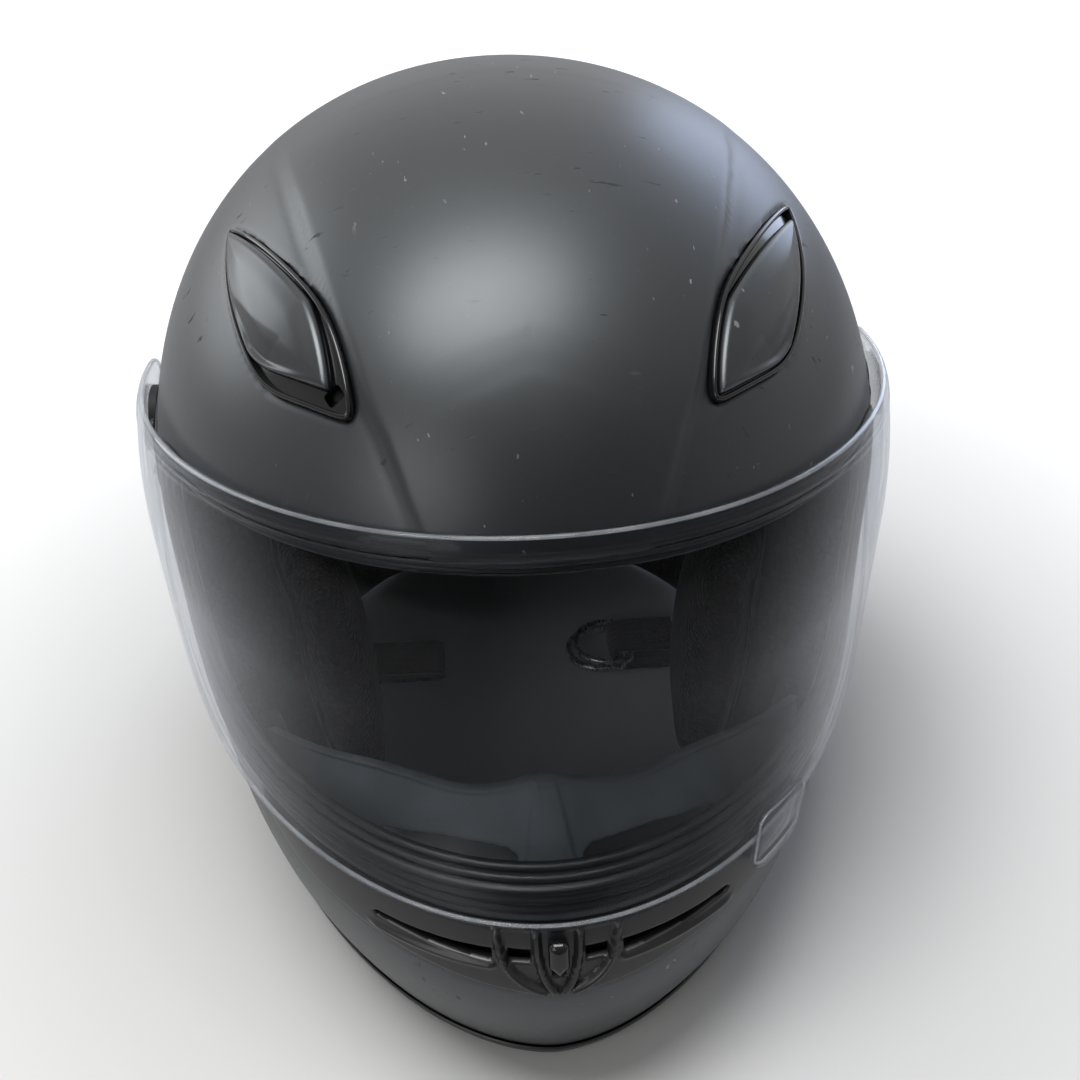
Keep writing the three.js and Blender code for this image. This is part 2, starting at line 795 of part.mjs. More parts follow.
function platePatch(inside, outside, grow) {
  const region = patch(layer(outside), layer(inside), -24, 10.5, pivotZ - 27, pivotZ + 27);
  return region.intersect(prism(plateOutline(grow), 0, farAway, sideView, 5));
}

function screwHole([y, z]) {
  return bar(sideFrame(y, z), screwShankRadius + seam, -10, 10, 8);
}

const leverFrame = sideFrame(...leverMiddle);

function visorBasePlate() {
  const body = platePatch(-plateRecess + seam, plateTop, 0);
  const plateFace = sideReach(pivotY, pivotZ, layer(plateTop));
  const boss = barAlongX(bossRadius, plateFace - 1.5, bossTop, pivotY, pivotZ);
  const bossHole = barAlongX(bossRadius - 2.5, plateFace, bossTop + 1, pivotY, pivotZ);
  const pinAt = leverFrame.clone().multiply(new THREE.Matrix4().makeTranslation(0, leverLength / 2, 0));
  const pin = bar(pinAt, leverPinRadius, 0, plateTop + seam + leverWall, 10);
  const heads = plateScrews.map(([y, z]) => bar(
    sideFrame(y, z), screwHeadRadius + seam, plateTop - screwHeadDepth - seam, 10, 10,
  ));
  return cut(add(body, boss, pin), bossHole, ...plateScrews.map(screwHole), ...heads);
}

function basePlateScrew([y, z]) {
  const frame = sideFrame(y, z);
  const head = bar(frame, screwHeadRadius, plateTop - screwHeadDepth, plateTop, 10);
  const shank = bar(frame, screwShankRadius, -shellWall + seam, plateTop - screwHeadDepth + 0.2, 8);
  const slot = prism(rectangle(-0.5, 0.5, -2.4, 2.4), plateTop - 0.6, plateTop + 1, frame);
  return cut(add(head, shank), slot);
}

// Hangs from its pin at the upper end; the lower end is pulled by the spring.
function visorReleaseLever() {
  const pinAt = leverLength / 2;
  const half = leverWidth / 2;
  const shape = new THREE.Shape();
  shape.absarc(0, pinAt, half, 0, 180 * degrees, false);
  shape.lineTo(-half - 1, -pinAt);
  shape.lineTo(half - 1.5, -pinAt);
  const base = plateTop + seam + 0.2;
  const hole = new THREE.Path();
  hole.absarc(0, pinAt, leverPinRadius + seam, 0, 360 * degrees, true);
  shape.holes.push(hole);
  return prism(shape, base, base + leverWall, leverFrame, 8);
}

// The return spring's coil, along the plate from the lever's lower end.
function releaseSpring() {
  const from = -leverWidth / 2 - 1 - seam;
  const turned = new THREE.Matrix4().makeTranslation(0, -leverLength / 2 + 1.5, plateTop + springRadius + 0.35)
    .multiply(new THREE.Matrix4().makeRotationY(-90 * degrees));
  return bar(leverFrame.clone().multiply(turned), springRadius, -from, -from + springLength, 8);
}

// ---------------------------------------------------------------- shell, liner and edge pieces

function exhaustSlots(width, height) {
  const slot = (x) => prism(
    rectangle(x - width / 2, x + width / 2, exhaustZ - height / 2 - 4, exhaustZ + height / 2 - 4),
    -farAway, 0, frontView,
  );
  return add(slot(-26), slot(0), slot(26));
}

const rivetFrame = sideFrame(strapY, rivetZ);

function rivetHole() {
  return bar(rivetFrame, rivetShankRadius + seam, -20, 20);
}

function rivetSeat() {
  return bar(rivetFrame, rivetHeadRadius + seam, -rivetSeatDepth, 20, 16);
}

function bothSides(solid) {
  return solid.add(mirroredSolid(solid));
}

function outerShell() {
  const rimLift = trimWall + seam;
  const body = dome(outerSkin, innerSkin, (theta) => edgeHeight(theta) + rimLift);
  const plateRecessTool = platePatch(-plateRecess, 12, seam);
  const screwHoles = plateScrews.map(screwHole);
  const sideTools = bothSides(add(plateRecessTool, ...screwHoles, rivetHole(), rivetSeat()));
  const ventTools = bothSides(ventRecessTool().add(ventIntake(-1)));
  const coverTool = coverPatch(layer(-coverRecess), layer(8), seam);
  return cut(body, portPrism(0), sideTools, ventTools, coverTool, chinSlots(), stemSlot(), exhaustSlots(14, 8));
}

function impactLiner() {
  const body = dome(linerOutside, linerInside, () => linerBottom);
  const faceTool = portPrism(gasketFlange + 1);
  const chinTool = box(-farAway, farAway, -farAway, -chinLinerRear + 2, -farAway, visorBottom + 10);
  const strapBay = box(-farAway, farAway, strapBayFront, farAway, -farAway, strapBayTop);
  return cut(body, faceTool, chinTool, strapBay, bothSides(ventIntake(-1)));
}

function chinBarLiner() {
  const inside = layer(-shellWall - layerGap - chinLinerWall);
  const body = patch(linerOutside, inside, -160, -20, chinLinerBottom, chinLinerTop);
  const rearTool = box(-farAway, farAway, -chinLinerRear, farAway, -farAway, farAway);
  const pocketEdge = -frontBearing(slotOuter + 10, slotZ, outerSkin) / degrees;
  const pocket = patch(layer(0), layer(-shutterFront - 5), pocketEdge - 180, -pocketEdge, 56, 90);
  return cut(body, rearTool, pocket);
}

function chinVentFilter() {
  const seatAt = -shutterFront - 5 + seam;
  const edge = -frontBearing(slotOuter + 6, slotZ, outerSkin) / degrees;
  return patch(layer(seatAt + 2), layer(seatAt), edge - 180, -edge, 62, chinLinerTop - seam);
}

function comfortLiner() {
  const outside = grown(linerInside, -seam);
  const body = dome(outside, grown(outside, -comfortThickness), () => comfortBottom);
  const faceTool = portPrism(gasketFlange + 2);
  const cheekTool = box(-farAway, farAway, -farAway, 14, -farAway, padTop + 3);
  return cut(body, faceTool, cheekTool);
}

const plateOutside = grown(linerInside, -seam);
const padOutside = grown(plateOutside, -padPlateWall - seam);
const padFront = -140;
const padRear = -184;

function cheekPadPlate() {
  return patch(plateOutside, grown(plateOutside, -padPlateWall), padRear + 2, padFront - 8, 34, padTop - 10);
}

// Thick at the cheek's middle and thinner at its edges.
function cheekPad() {
  const rows = range(padRear, padFront, 8).map((angle, i) => {
    const theta = angle * degrees;
    const roundness = Math.sin(((i + 1) / 10) * 180 * degrees) ** 0.5;
    const heights = range(padBottom, padTop, 6);
    const inner = heights.map((z, k) => {
      const thickness = padThickness * (0.35 + 0.65 * roundness * Math.sin(((k + 1) / 8) * 180 * degrees) ** 0.5);
      return skin(theta, z, grown(padOutside, -thickness));
    });
    return { outer: heights.map((z) => skin(theta, z, padOutside)), inner };
  });
  return slab(rows);
}

function neckRoll() {
  const outside = layer(-shellWall - trimWall - 2 * seam);
  const inside = grown(outside, -neckRollThickness);
  return patch(outside, inside, 17, 163, neckRollBottom, strapBayTop - seam);
}

// U-shaped edging that wraps the shell's lower rim.
function lowerEdgeTrim() {
  const lip = trimWall + seam;
  const outside = layer(lip);
  const outerWallIn = layer(seam);
  const innerWallIn = layer(-shellWall - seam);
  const inside = layer(-shellWall - lip);
  const rows = wholeTurn.map((angle) => {
    const theta = angle * degrees;
    const low = edgeHeight(theta);
    const at = (z, which) => skin(theta, low + z, which);
    return {
      outer: [at(0, outside), at(trimHeight, outside), at(trimHeight, outerWallIn), at(trimWall, outerWallIn)],
      inner: [at(0, inside), at(trimHeight, inside), at(trimHeight, innerWallIn), at(trimWall, innerWallIn)],
    };
  });
  return slab(rows, true);
}

// Rubber channel round the eye port, with an outer lip for the visor to close on.
function eyeportGasket() {
  const region = (outside, inside) => patch(layer(outside), layer(inside), -168, -12, visorBottom - 4, browTop - 4);
  const ring = portPrism(gasketFlange).subtract(portPrism(-gasketInset));
  const body = ring.intersect(region(gasketLip, -shellWall - gasketLip));
  const wall = region(seam, -shellWall - seam).subtract(portPrism(-seam));
  return body.subtract(wall);
}

// Nose and breath guard on the chin bar's top inner edge.
function breathGuard() {
  const rows = bearingsBetween(-142, -38).map((angle) => {
    const theta = angle * degrees;
    const side = Math.abs(angle + 90) / 52;
    const lean = 1 - side ** 2;
    const wave = 3 * Math.cos(side * 3 * 180 * degrees);
    const low = chinLinerTop + seam;
    const topZ = 87 + 7 * lean + wave * (1 - side);
    const foot = layer(-9);
    const head = layer(-10 - 25 * lean);
    const outer = [skin(theta, low, foot), skin(theta, low + 4, foot), skin(theta, topZ, head)];
    const inner = [skin(theta, low, grown(foot, -3)), skin(theta, low + 2, grown(foot, -3)),
      skin(theta, topZ - 2.2, grown(head, -1.4))];
    return { outer, inner };
  });
  return slab(rows);
}

function rearExhaustCover() {
  const low = exhaustZ - exhaustHalfHeight;
  const high = exhaustZ + exhaustHalfHeight;
  const rows = bearingsBetween(90 - exhaustHalfAngle, 90 + exhaustHalfAngle).map((angle) => {
    const theta = angle * degrees;
    const across = Math.cos(((angle - 90) / exhaustHalfAngle) * 90 * degrees);
    const heights = range(low, high, 6);
    const rise = (z) => exhaustRise * (across * Math.cos(((z - exhaustZ) / exhaustHalfHeight) * 90 * degrees)) ** 0.5;
    return {
      outer: heights.map((z) => skin(theta, z, layer(2 * seam + exhaustWall + (rise(z) || 0)))),
      inner: heights.map((z) => skin(theta, z, layer(2 * seam + (rise(z) || 0)))),
    };
  });
  return cut(slab(rows), exhaustSlots(16, 6));
}

// ---------------------------------------------------------------- retention straps

// A strip of webbing whose outline runs along a path in (x, z), strapWall thick on its left.
function ribbon(path, wall, y0, y1) {
  const points = path.map(([x, z]) => new THREE.Vector2(x, z));
  const normals = points.map((point, k) => {
    const before = points[Math.max(k - 1, 0)];
    const after = points[Math.min(k + 1, points.length - 1)];
    const run = after.clone().sub(before).normalize();
    return new THREE.Vector2(-run.y, run.x);
  });
  const far = points.map((point, k) => point.clone().addScaledVector(normals[k], wall));
  return prism(new THREE.Shape([...points, ...far.reverse()]), -y1, -y0, frontView);
}

function arc(x, z, radius, fromAngle, toAngle, steps) {
  return range(fromAngle, toAngle, steps).map((angle) => [
    x + radius * Math.cos(angle * degrees),
    z + radius * Math.sin(angle * degrees),
  ]);
}

const anchorOutside = layer(-shellWall - layerGap);
const anchorInside = grown(anchorOutside, -anchorWall);
const strapOff = grown(anchorInside, -seam);

// Where the strap's outer face lies on the right-hand wall at height z.
function wallX(z) {
  return -Math.min(sideReach(strapY - strapWidth / 2, z, strapOff), sideReach(strapY + strapWidth / 2, z, strapOff));
}

function wallPath() {
  const bend = 9;
  const turnX = wallX(strapFloor + bend) + bend;
  return [...range(anchorTop - 2, strapFloor + bend + 6, 3).map((z) => [wallX(z), z]),
    ...arc(turnX, strapFloor + bend, bend, 180, 270, 5)];
}

// The long strap's end lies folded back on itself and snapped down.
function longStrap() {
  const fold = strapWall + 1.2;
  const path = [...wallPath(), [longStrapEnd, strapFloor],
    ...arc(longStrapEnd, strapFloor + fold, fold, -90, 90, 8).slice(1),
    [longStrapReturn, strapFloor + 2 * fold]];
  const strap = ribbon(path, strapWall, strapY - strapWidth / 2, strapY + strapWidth / 2);
  return strap.subtract(mirroredSolid(rivetHole()));
}

const loopRadius = (ringStack + ringBar) / 2 + 0.7 + strapWall;

// The short strap ends in a loop that holds both D-rings. Drawn at the right, used at the left.
function shortStrap() {
  const path = [...wallPath(), [-shortStrapEnd, strapFloor],
    ...arc(-shortStrapEnd, strapFloor + loopRadius, loopRadius, -90, 90, 10).slice(1),
    [-shortStrapEnd - 24, strapFloor + 2 * loopRadius]];
  const strap = ribbon(path, strapWall, strapY - strapWidth / 2, strapY + strapWidth / 2);
  return strap.subtract(mirroredSolid(rivetHole()));
}

function strapAnchor() {
  const edge = (y) => Math.asin(y / rearReach) / degrees;
  const from = edge(strapY - 13);
  const to = edge(strapY + 13);
  const plate = patch(anchorOutside, anchorInside, from, to, anchorBottom, anchorTop);
  return plate.subtract(rivetHole());
}

function strapRivet() {
  const strapInside = -sideReach(strapY, rivetZ, outerSkin) - wallX(rivetZ) - strapWall - strapSlack;
  const headSeat = -rivetSeatDepth + seam;
  const shank = bar(rivetFrame, rivetShankRadius, strapInside - seam - 0.5, headSeat + 0.5);
  const outerHead = bar(rivetFrame, rivetHeadRadius, headSeat, headSeat + rivetHeadHeight, 16);
  const innerHead = bar(rivetFrame, rivetHeadRadius, strapInside - seam - rivetHeadHeight, strapInside - seam, 16);
  return add(shank, outerHead, innerHead);
}

function strapSnap() {
  const fold = strapWall + 1.2;
  const top = strapFloor + 2 * fold;
  const geometry = new THREE.CylinderGeometry(snapRadius - 1, snapRadius, snapHeight, 18);
  geometry.rotateX(90 * degrees);
  geometry.translate(longStrapReturn + 14, strapY, top + seam + snapHeight / 2);
  return toSolid(geometry);
}

// A flat D-ring: its straight bar along Y at (x, z), its round end towards -x.
function dRing(barX, barZ) {
  const half = ringInnerWidth / 2;
  const outline = (grow) => {
    const shape = new THREE.Shape();
    const reach = ringReach - half - 2;
    shape.moveTo(barX - ringBar / 2 + grow, strapY - half - grow);
    shape.lineTo(barX - ringBar / 2 + grow, strapY + half + grow);
    shape.lineTo(barX - reach, strapY + half + grow);
    shape.absarc(barX - reach, strapY, half + grow, 90 * degrees, 270 * degrees, false);
    return shape;
  };
  const ring = outline(ringBar);
  ring.holes.push(outline(0));
  return prism(ring, barZ - ringBar / 2, barZ + ringBar / 2, new THREE.Matrix4(), 9);
}

// ---------------------------------------------------------------- assembly

const helmet = new THREE.Group();

function place(name, solid, material) {
  const mesh = new THREE.Mesh(toGeometry(solid), material);
  mesh.name = name;
  helmet.add(mesh);
}

function placePair(name, rightSolid, material, leftSolid = rightSolid) {
  place(`${name}_right`, rightSolid, material);
  place(`${name}_left`, mirroredSolid(leftSolid), material);
}

// Drawn at the wearer's left, with the right-hand piece as its mirror image.
function placeSidePair(name, leftSolid, material) {
  place(`${name}_left`, leftSolid, material);
  place(`${name}_right`, mirroredSolid(leftSolid), material);
}

place('outer_shell', outerShell(), mattePaint);
place('impact_liner', impactLiner(), foam);
place('chin_bar_liner', chinBarLiner(), foam);
place('crown_comfort_liner', comfortLiner(), knit);
placePair('cheek_pad', cheekPad(), knit);
placePair('cheek_pad_plate', cheekPadPlate(), innerPlastic);
place('neck_roll', neckRoll(), knit);
place('lower_edge_trim', lowerEdgeTrim(), sealRubber);
place('eyeport_gasket', eyeportGasket(), sealRubber);
place('breath_guard', breathGuard(), sealRubber);

place('visor', visor(), clearVisor);
placeSidePair('visor_base_plate', visorBasePlate(), innerPlastic);
plateScrews.forEach((spot, k) => placeSidePair(`base_plate_screw_${k + 1}`, basePlateScrew(spot), steel));
placeSidePair('visor_release_lever', visorReleaseLever(), satinPlastic);
placeSidePair('release_spring', releaseSpring(), steel);

placePair('top_vent_bezel', ventBezel(), glossPlastic);
const closedShutter = ventShutter();
placePair('top_vent_shutter', turnedAboutVent(closedShutter, ventSwing), mattePaint, closedShutter);

place('chin_vent_cover', chinVentCover(), satinPlastic);
place('chin_vent_slider', chinVentSlider(), glossPlastic);
place('chin_vent_shutter', chinVentShutter(), innerPlastic);
place('chin_vent_filter', chinVentFilter(), foam);
place('rear_exhaust_cover', rearExhaustCover(), satinPlastic);

place('chin_strap_long', longStrap(), webbing);
place('chin_strap_short', mirroredSolid(shortStrap()), webbing);
placeSidePair('strap_anchor', strapAnchor(), steel);
placeSidePair('strap_rivet', strapRivet(), steel);
place('strap_snap', strapSnap(), satinPlastic);
const ringZ = strapFloor + strapWall + 0.7 + ringBar / 2;
place('d_ring_lower', dRing(shortStrapEnd, ringZ), steel);
place('d_ring_upper', dRing(shortStrapEnd + ringSetback, ringZ + ringStack), steel);

const extent = new THREE.Box3().setFromObject(helmet);
const middle = extent.getCenter(new THREE.Vector3());
helmet.position.set(-middle.x, -middle.y, -extent.min.z);

export default helmet;
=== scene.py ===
"""Looks of the full-face helmet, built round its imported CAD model, in metres.

Shapes are worked out in millimetres about the visor's pivot station, as the CAD is, and moved to
the shared frame by place(). The helmet faces -Y and the wearer's left is +X.
"""
import json
import math

import bmesh
import bpy
import numpy as np
from mathutils import Matrix, Vector


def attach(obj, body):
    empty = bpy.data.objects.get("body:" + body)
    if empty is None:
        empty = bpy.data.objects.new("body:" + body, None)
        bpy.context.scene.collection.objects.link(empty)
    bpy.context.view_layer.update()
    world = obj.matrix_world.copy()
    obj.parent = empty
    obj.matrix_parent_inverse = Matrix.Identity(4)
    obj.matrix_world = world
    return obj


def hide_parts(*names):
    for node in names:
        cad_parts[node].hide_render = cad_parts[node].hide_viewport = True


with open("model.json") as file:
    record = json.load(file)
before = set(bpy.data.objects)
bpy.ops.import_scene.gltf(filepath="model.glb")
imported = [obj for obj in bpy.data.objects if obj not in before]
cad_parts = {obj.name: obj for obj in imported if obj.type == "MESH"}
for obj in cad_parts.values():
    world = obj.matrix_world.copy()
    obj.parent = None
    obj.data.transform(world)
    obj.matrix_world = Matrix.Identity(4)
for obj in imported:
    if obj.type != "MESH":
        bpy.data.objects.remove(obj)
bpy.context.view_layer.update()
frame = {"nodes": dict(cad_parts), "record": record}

MM = 0.001
JOINTS = {joint["name"]: joint for joint in frame["record"]["behaviour"]["joints"]}
SHIFT = JOINTS["visor_hinge"]["pos_m"][1] / MM
DEG = math.pi / 180

# ---------------------------------------------------------------- sizes shared with the CAD, mm

HALF_WIDTH, HEIGHT, WIDEST = 127.0, 263.5, 140.0
BROW_REACH, REAR_REACH = 160.5, 158.0
CROWN_POWER, BROW_POWER, CHIN_POWER = 2.14, 2.04, 1.76
BULGE, BULGE_Z, BULGE_SPREAD = 32.7, 51.6, 55.0
SIDE_TUCK, REAR_TUCK = 17.0, 45.0
SIDE_ARCH, ARCH_START = 8.0, 0.4
SHELL_WALL, SEAM = 3.5, 0.3
TRIM_WALL = 1.3
LINER = {"side": -31.0, "ends": -40.0, "top": -36.0}
PIVOT_Z, EAR_RADIUS, VISOR_BOTTOM, TOP_FALL = 147.0, 21.6, 81.0, 8.9 * DEG
VISOR_GAP, VISOR_WALL, EAR_FLARE = 1.8, 2.2, 3.0
LAP_TOP, LAP_BOTTOM, PORT_REAR = 8.5, 7.0, -52.0
COVER_TOP, COVER_LOW, COVER_HALF, SLOT_Z = 80.0, 58.0, 88.0, 71.0
VENT_BEARING, VENT_Z, VENT_SPLAY = -137 * DEG, 230.0, 11 * DEG
VENT_ARC, VENT_CROSS, VENT_TRAVEL, LID_INSET = 168.0, 105.0, 8.0, 1.75
STRAP_Y, STRAP_WIDTH, STRAP_WALL, STRAP_FLOOR = 17.0, 22.0, 2.2, 3.0
RING_BAR, RING_STACK, RING_GAP = 3.0, 3.8, 0.7
EXHAUST_Z = 196.0
FAR_FRONT = -400.0  # ahead of everything, where an outline in side view is closed
FAR, CLEAR = 99.0, 50.0  # distances that leave a place alone
CHIN = -90 * DEG


# ---------------------------------------------------------------- the helmet's skin


def clamp(value, low=0.0, high=1.0):
    return np.clip(value, low, high)


def smooth(value):
    t = clamp(value)
    return t * t * (3 - 2 * t)


def station(z, side, ends, top):
    rise = clamp((z - WIDEST) / (HEIGHT + top - WIDEST))
    cap = (1 - rise**CROWN_POWER) ** (1 / CROWN_POWER)
    drop = clamp((WIDEST - z) / WIDEST)
    bulge = BULGE * np.exp(-(((z - BULGE_Z) / BULGE_SPREAD) ** 2))
    half = (HALF_WIDTH + side) * cap - SIDE_TUCK * drop**2
    front = (BROW_REACH + ends) * cap + bulge * np.where(z > WIDEST, cap, 1)
    rear = (REAR_REACH + ends) * cap - REAR_TUCK * drop**2
    power = CHIN_POWER + (BROW_POWER - CHIN_POWER) * clamp(z / WIDEST)
    return half, front, rear, power


def skin(theta, z, out=0.0, ends=None, top=None, flare=0.0):
    """Points of the layer that lies out beyond the shell's skin; theta -90 degrees is the chin."""
    theta, z = np.broadcast_arrays(np.asarray(theta, float), np.asarray(z, float))
    ends = out if ends is None else ends
    half, front, rear, power = station(z, out, ends, ends if top is None else top)
    c, s = np.cos(theta), np.sin(theta)
    x = np.sign(c) * (half * np.abs(c) ** (2 / power) + flare * np.abs(c) ** 6)
    y = np.where(s < 0, -front * np.abs(s) ** (2 / power), rear * s)
    return np.stack([x, y, z], -1)


def bearing_at(y, z, out=0.0, flare=0.0):
    """The bearing on the wearer's left at which the layer passes through y at height z."""
    low = np.full(np.broadcast(y, z).shape, -89.9 * DEG)
    high = -low
    for _ in range(40):
        mid = (low + high) / 2
        less = skin(mid, z, out, flare=flare)[..., 1] < y
        low, high = np.where(less, mid, low), np.where(less, high, mid)
    return (low + high) / 2


def edge_height(theta):
    return SIDE_ARCH * clamp((np.abs(np.cos(theta)) - ARCH_START) / (1 - ARCH_START)) ** 2


def visor_top_at(y):
    ear = PIVOT_Z + EAR_RADIUS * math.cos(TOP_FALL)
    return ear - (y - EAR_RADIUS * math.sin(TOP_FALL)) * math.tan(TOP_FALL)


def bezier(*points, steps=24):
    t = np.linspace(0, 1, steps + 1)[:, None]
    p = [np.array(q, float) for q in points]
    if len(p) == 3:
        return (1 - t) ** 2 * p[0] + 2 * t * (1 - t) * p[1] + t**2 * p[2]
    return (1 - t) ** 3 * p[0] + 3 * t * (1 - t) ** 2 * p[1] + 3 * t**2 * (1 - t) * p[2] + t**3 * p[3]


def polygon_distance(u, v, polygon):
    """Signed distance from (u, v) to a closed outline: positive outside."""
    best = np.full(u.shape, 1e9)
    inside = np.zeros(u.shape, bool)
    for (ax, ay), (bx, by) in zip(polygon, np.roll(polygon, -1, 0)):
        dx, dy = bx - ax, by - ay
        if dx == dy == 0:
            continue
        t = clamp(((u - ax) * dx + (v - ay) * dy) / (dx * dx + dy * dy))
        best = np.minimum(best, np.hypot(u - ax - t * dx, v - ay - t * dy))
        if ay != by:
            inside ^= ((ay > v) != (by > v)) & (u < ax + (v - ay) / (by - ay) * dx)
    return np.where(inside, -best, best)


# ---------------------------------------------------------------- meshes


def place(points):
    return (np.asarray(points, float) + [0, SHIFT, 0]) * MM


def piece(name, points, faces, material, slot, body="shell", sharp=35, merge=0.02):
    """A mesh object from millimetre points, riding on a CAD body."""
    mesh = bpy.data.meshes.new(name)
    mesh.from_pydata([tuple(p) for p in place(points)], [], [tuple(int(i) for i in f) for f in faces])
    work = bmesh.new()
    work.from_mesh(mesh)
    bmesh.ops.remove_doubles(work, verts=work.verts, dist=merge * MM)
    bmesh.ops.dissolve_degenerate(work, edges=work.edges, dist=1e-6)
    loose = [v for v in work.verts if not v.link_faces]
    bmesh.ops.delete(work, geom=loose, context="VERTS")
    bmesh.ops.recalc_face_normals(work, faces=work.faces)
    work.to_mesh(mesh)
    work.free()
    for polygon in mesh.polygons:
        polygon.use_smooth = True
    mesh.set_sharp_from_angle(angle=sharp * DEG)
    obj = bpy.data.objects.new(name, mesh)
    bpy.context.scene.collection.objects.link(obj)
    mesh.materials.append(material)
    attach(obj, body)
    return obj


def grid_faces(rows, columns, closed=False):
    faces = []
    for i in range(rows if closed else rows - 1):
        j = (i + 1) % rows
        for k in range(columns - 1):
            faces.append((i * columns + k, j * columns + k, j * columns + k + 1, i * columns + k + 1))
    return faces


def sheet_grid(first, second):
    """Every pair from two rows of numbers, and the faces between them."""
    a, b = np.meshgrid(first, second, indexing="ij")
    return np.column_stack([a.ravel(), b.ravel()]), grid_faces(len(first), len(second))


def clip(values, faces, field):
    """Cuts faces along field = 0, keeping its positive side. values are interpolated with it."""
    values = [row for row in values]
    cuts, kept = {}, []
    positive = field > 0

    def crossing(a, b):
        key = (a, b) if a < b else (b, a)
        if key not in cuts:
            a, b = key
            share = field[a] / (field[a] - field[b])
            values.append(values[a] + share * (values[b] - values[a]))
            cuts[key] = len(values) - 1
        return cuts[key]

    for face in faces:
        signs = [positive[i] for i in face]
        if all(signs):
            kept.append(face)
        elif any(signs):
            outline = []
            for a, b in zip(face, face[1:] + face[:1]):
                if positive[a]:
                    outline.append(a)
                if positive[a] != positive[b]:
                    outline.append(crossing(a, b))
            if len(outline) > 2:
                kept.append(tuple(outline))
    return np.array(values), kept


def welded(outer, inner, faces):
    """Joins vertices of two matching sheets where the outer sheet's points coincide."""
    _, first, index = np.unique(np.round(outer / 0.01), axis=0, return_index=True, return_inverse=True)
    index = index.ravel()
    kept = []
    for face in faces:
        ring = list(dict.fromkeys(int(index[i]) for i in face))
        if len(ring) > 2:
            kept.append(tuple(ring))
    return outer[first], inner[first], kept


def thick(outer, inner, faces):
    """Closes two facing sheets with the same faces into one solid."""
    outer, inner, faces = welded(outer, inner, faces)
    count = len(outer)
    edges = {}
    for face in faces:
        for a, b in zip(face, face[1:] + face[:1]):
            key = (a, b) if a < b else (b, a)
            edges[key] = None if key in edges else (a, b)
    walls = [(b, a, a + count, b + count) for a, b in (e for e in edges.values() if e)]
    back = [tuple(i + count for i in reversed(face)) for face in faces]
    return np.concatenate([outer, inner]), list(faces) + back + walls


def rounded(distance, radius, drop=None):
    """How far a surface falls near an edge that is rounded over radius."""
    share = clamp(distance / radius)
    return (radius if drop is None else drop) * (1 - np.sqrt(1 - (1 - share) ** 2))


def loft(rings, closed_ring=True, caps=True, closed_loft=False):
    """Rings of points joined one to the next. Each ring has the same number of points."""
    count = len(rings[0])
    points = np.concatenate(rings)
    faces = []
    for i in range(len(rings) if closed_loft else len(rings) - 1):
        j = (i + 1) % len(rings)
        for k in range(count if closed_ring else count - 1):
            m = (k + 1) % count
            faces.append((i * count + k, i * count + m, j * count + m, j * count + k))
    if caps and not closed_loft:
        faces.append(tuple(reversed(range(count))))
        faces.append(tuple(range((len(rings) - 1) * count, len(rings) * count)))
    return points, faces


def in_frame(basis, local):
    return local @ basis[:3, :3].T + basis[:3, 3]


def lathe(basis, profile, sides=40):
    """Turns (radius, height) points about the local z of a 4x4 basis in millimetres."""
    angles = np.linspace(0, 2 * math.pi, sides, endpoint=False)
    rings = []
    for radius, height in profile:
        local = np.stack([radius * np.cos(angles), radius * np.sin(angles), np.full(sides, height)], -1)
        rings.append(in_frame(basis, local))
    return loft(rings)


def tube(path, radius, sides=14, closed=False):
    """A round rod along a path of points."""
    path = np.asarray(path, float)
    ahead = np.roll(path, -1, 0) - np.roll(path, 1, 0) if closed else np.gradient(path, axis=0)
    tangent = ahead / np.linalg.norm(ahead, axis=1)[:, None]
    side = np.cross(tangent[0], [0.3, 0.5, 0.81])
    rings = []
    angles = np.linspace(0, 2 * math.pi, sides, endpoint=False)
    for centre, t in zip(path, tangent):
        side = side - t * side.dot(t)
        side = side / np.linalg.norm(side)
        other = np.cross(t, side)
        rings.append(centre + radius * (np.cos(angles)[:, None] * side + np.sin(angles)[:, None] * other))
    return loft(rings, closed_loft=closed)


def joined(*parts):
    points, faces, start = [], [], 0
    for p, f in parts:
        points.append(p)
        faces += [tuple(i + start for i in face) for face in f]
        start += len(p)
    return np.concatenate(points), faces


def mirror_x(part):
    points, faces = part
    return points * [-1, 1, 1], [tuple(reversed(face)) for face in faces]


def turned(part, flip):
    return mirror_x(part) if flip else part


def basis_at(centre, across, along, normal):
    basis = np.eye(4)
    basis[:3, 0], basis[:3, 1], basis[:3, 2], basis[:3, 3] = across, along, normal, centre
    return basis


def unit(vector):
    return vector / np.linalg.norm(vector)


def layer(values, outside, inside, faces):
    """A solid between two layers over (bearing, height) rows."""
    theta, z = values[:, 0], values[:, 1]
    return thick(skin(theta, z, outside), skin(theta, z, inside), faces)


def skin_normal(theta, z, step=0.01):
    round_it = skin(theta + step, z) - skin(theta - step, z)
    return unit(np.cross(round_it, skin(theta, z + step) - skin(theta, z - step)))


def path_length(path):
    return np.concatenate([[0], np.cumsum(np.hypot(*np.diff(path, axis=0).T))])


def resampled(path, length, at):
    return np.column_stack([np.interp(at, length, path[:, k]) for k in (0, 1)])


def inward_normals(outline):
    """Unit normals to the left of a closed outline's run."""
    run = np.roll(outline, -1, 0) - np.roll(outline, 1, 0)
    return np.column_stack([-run[:, 1], run[:, 0]]) / np.linalg.norm(run, axis=1)[:, None]


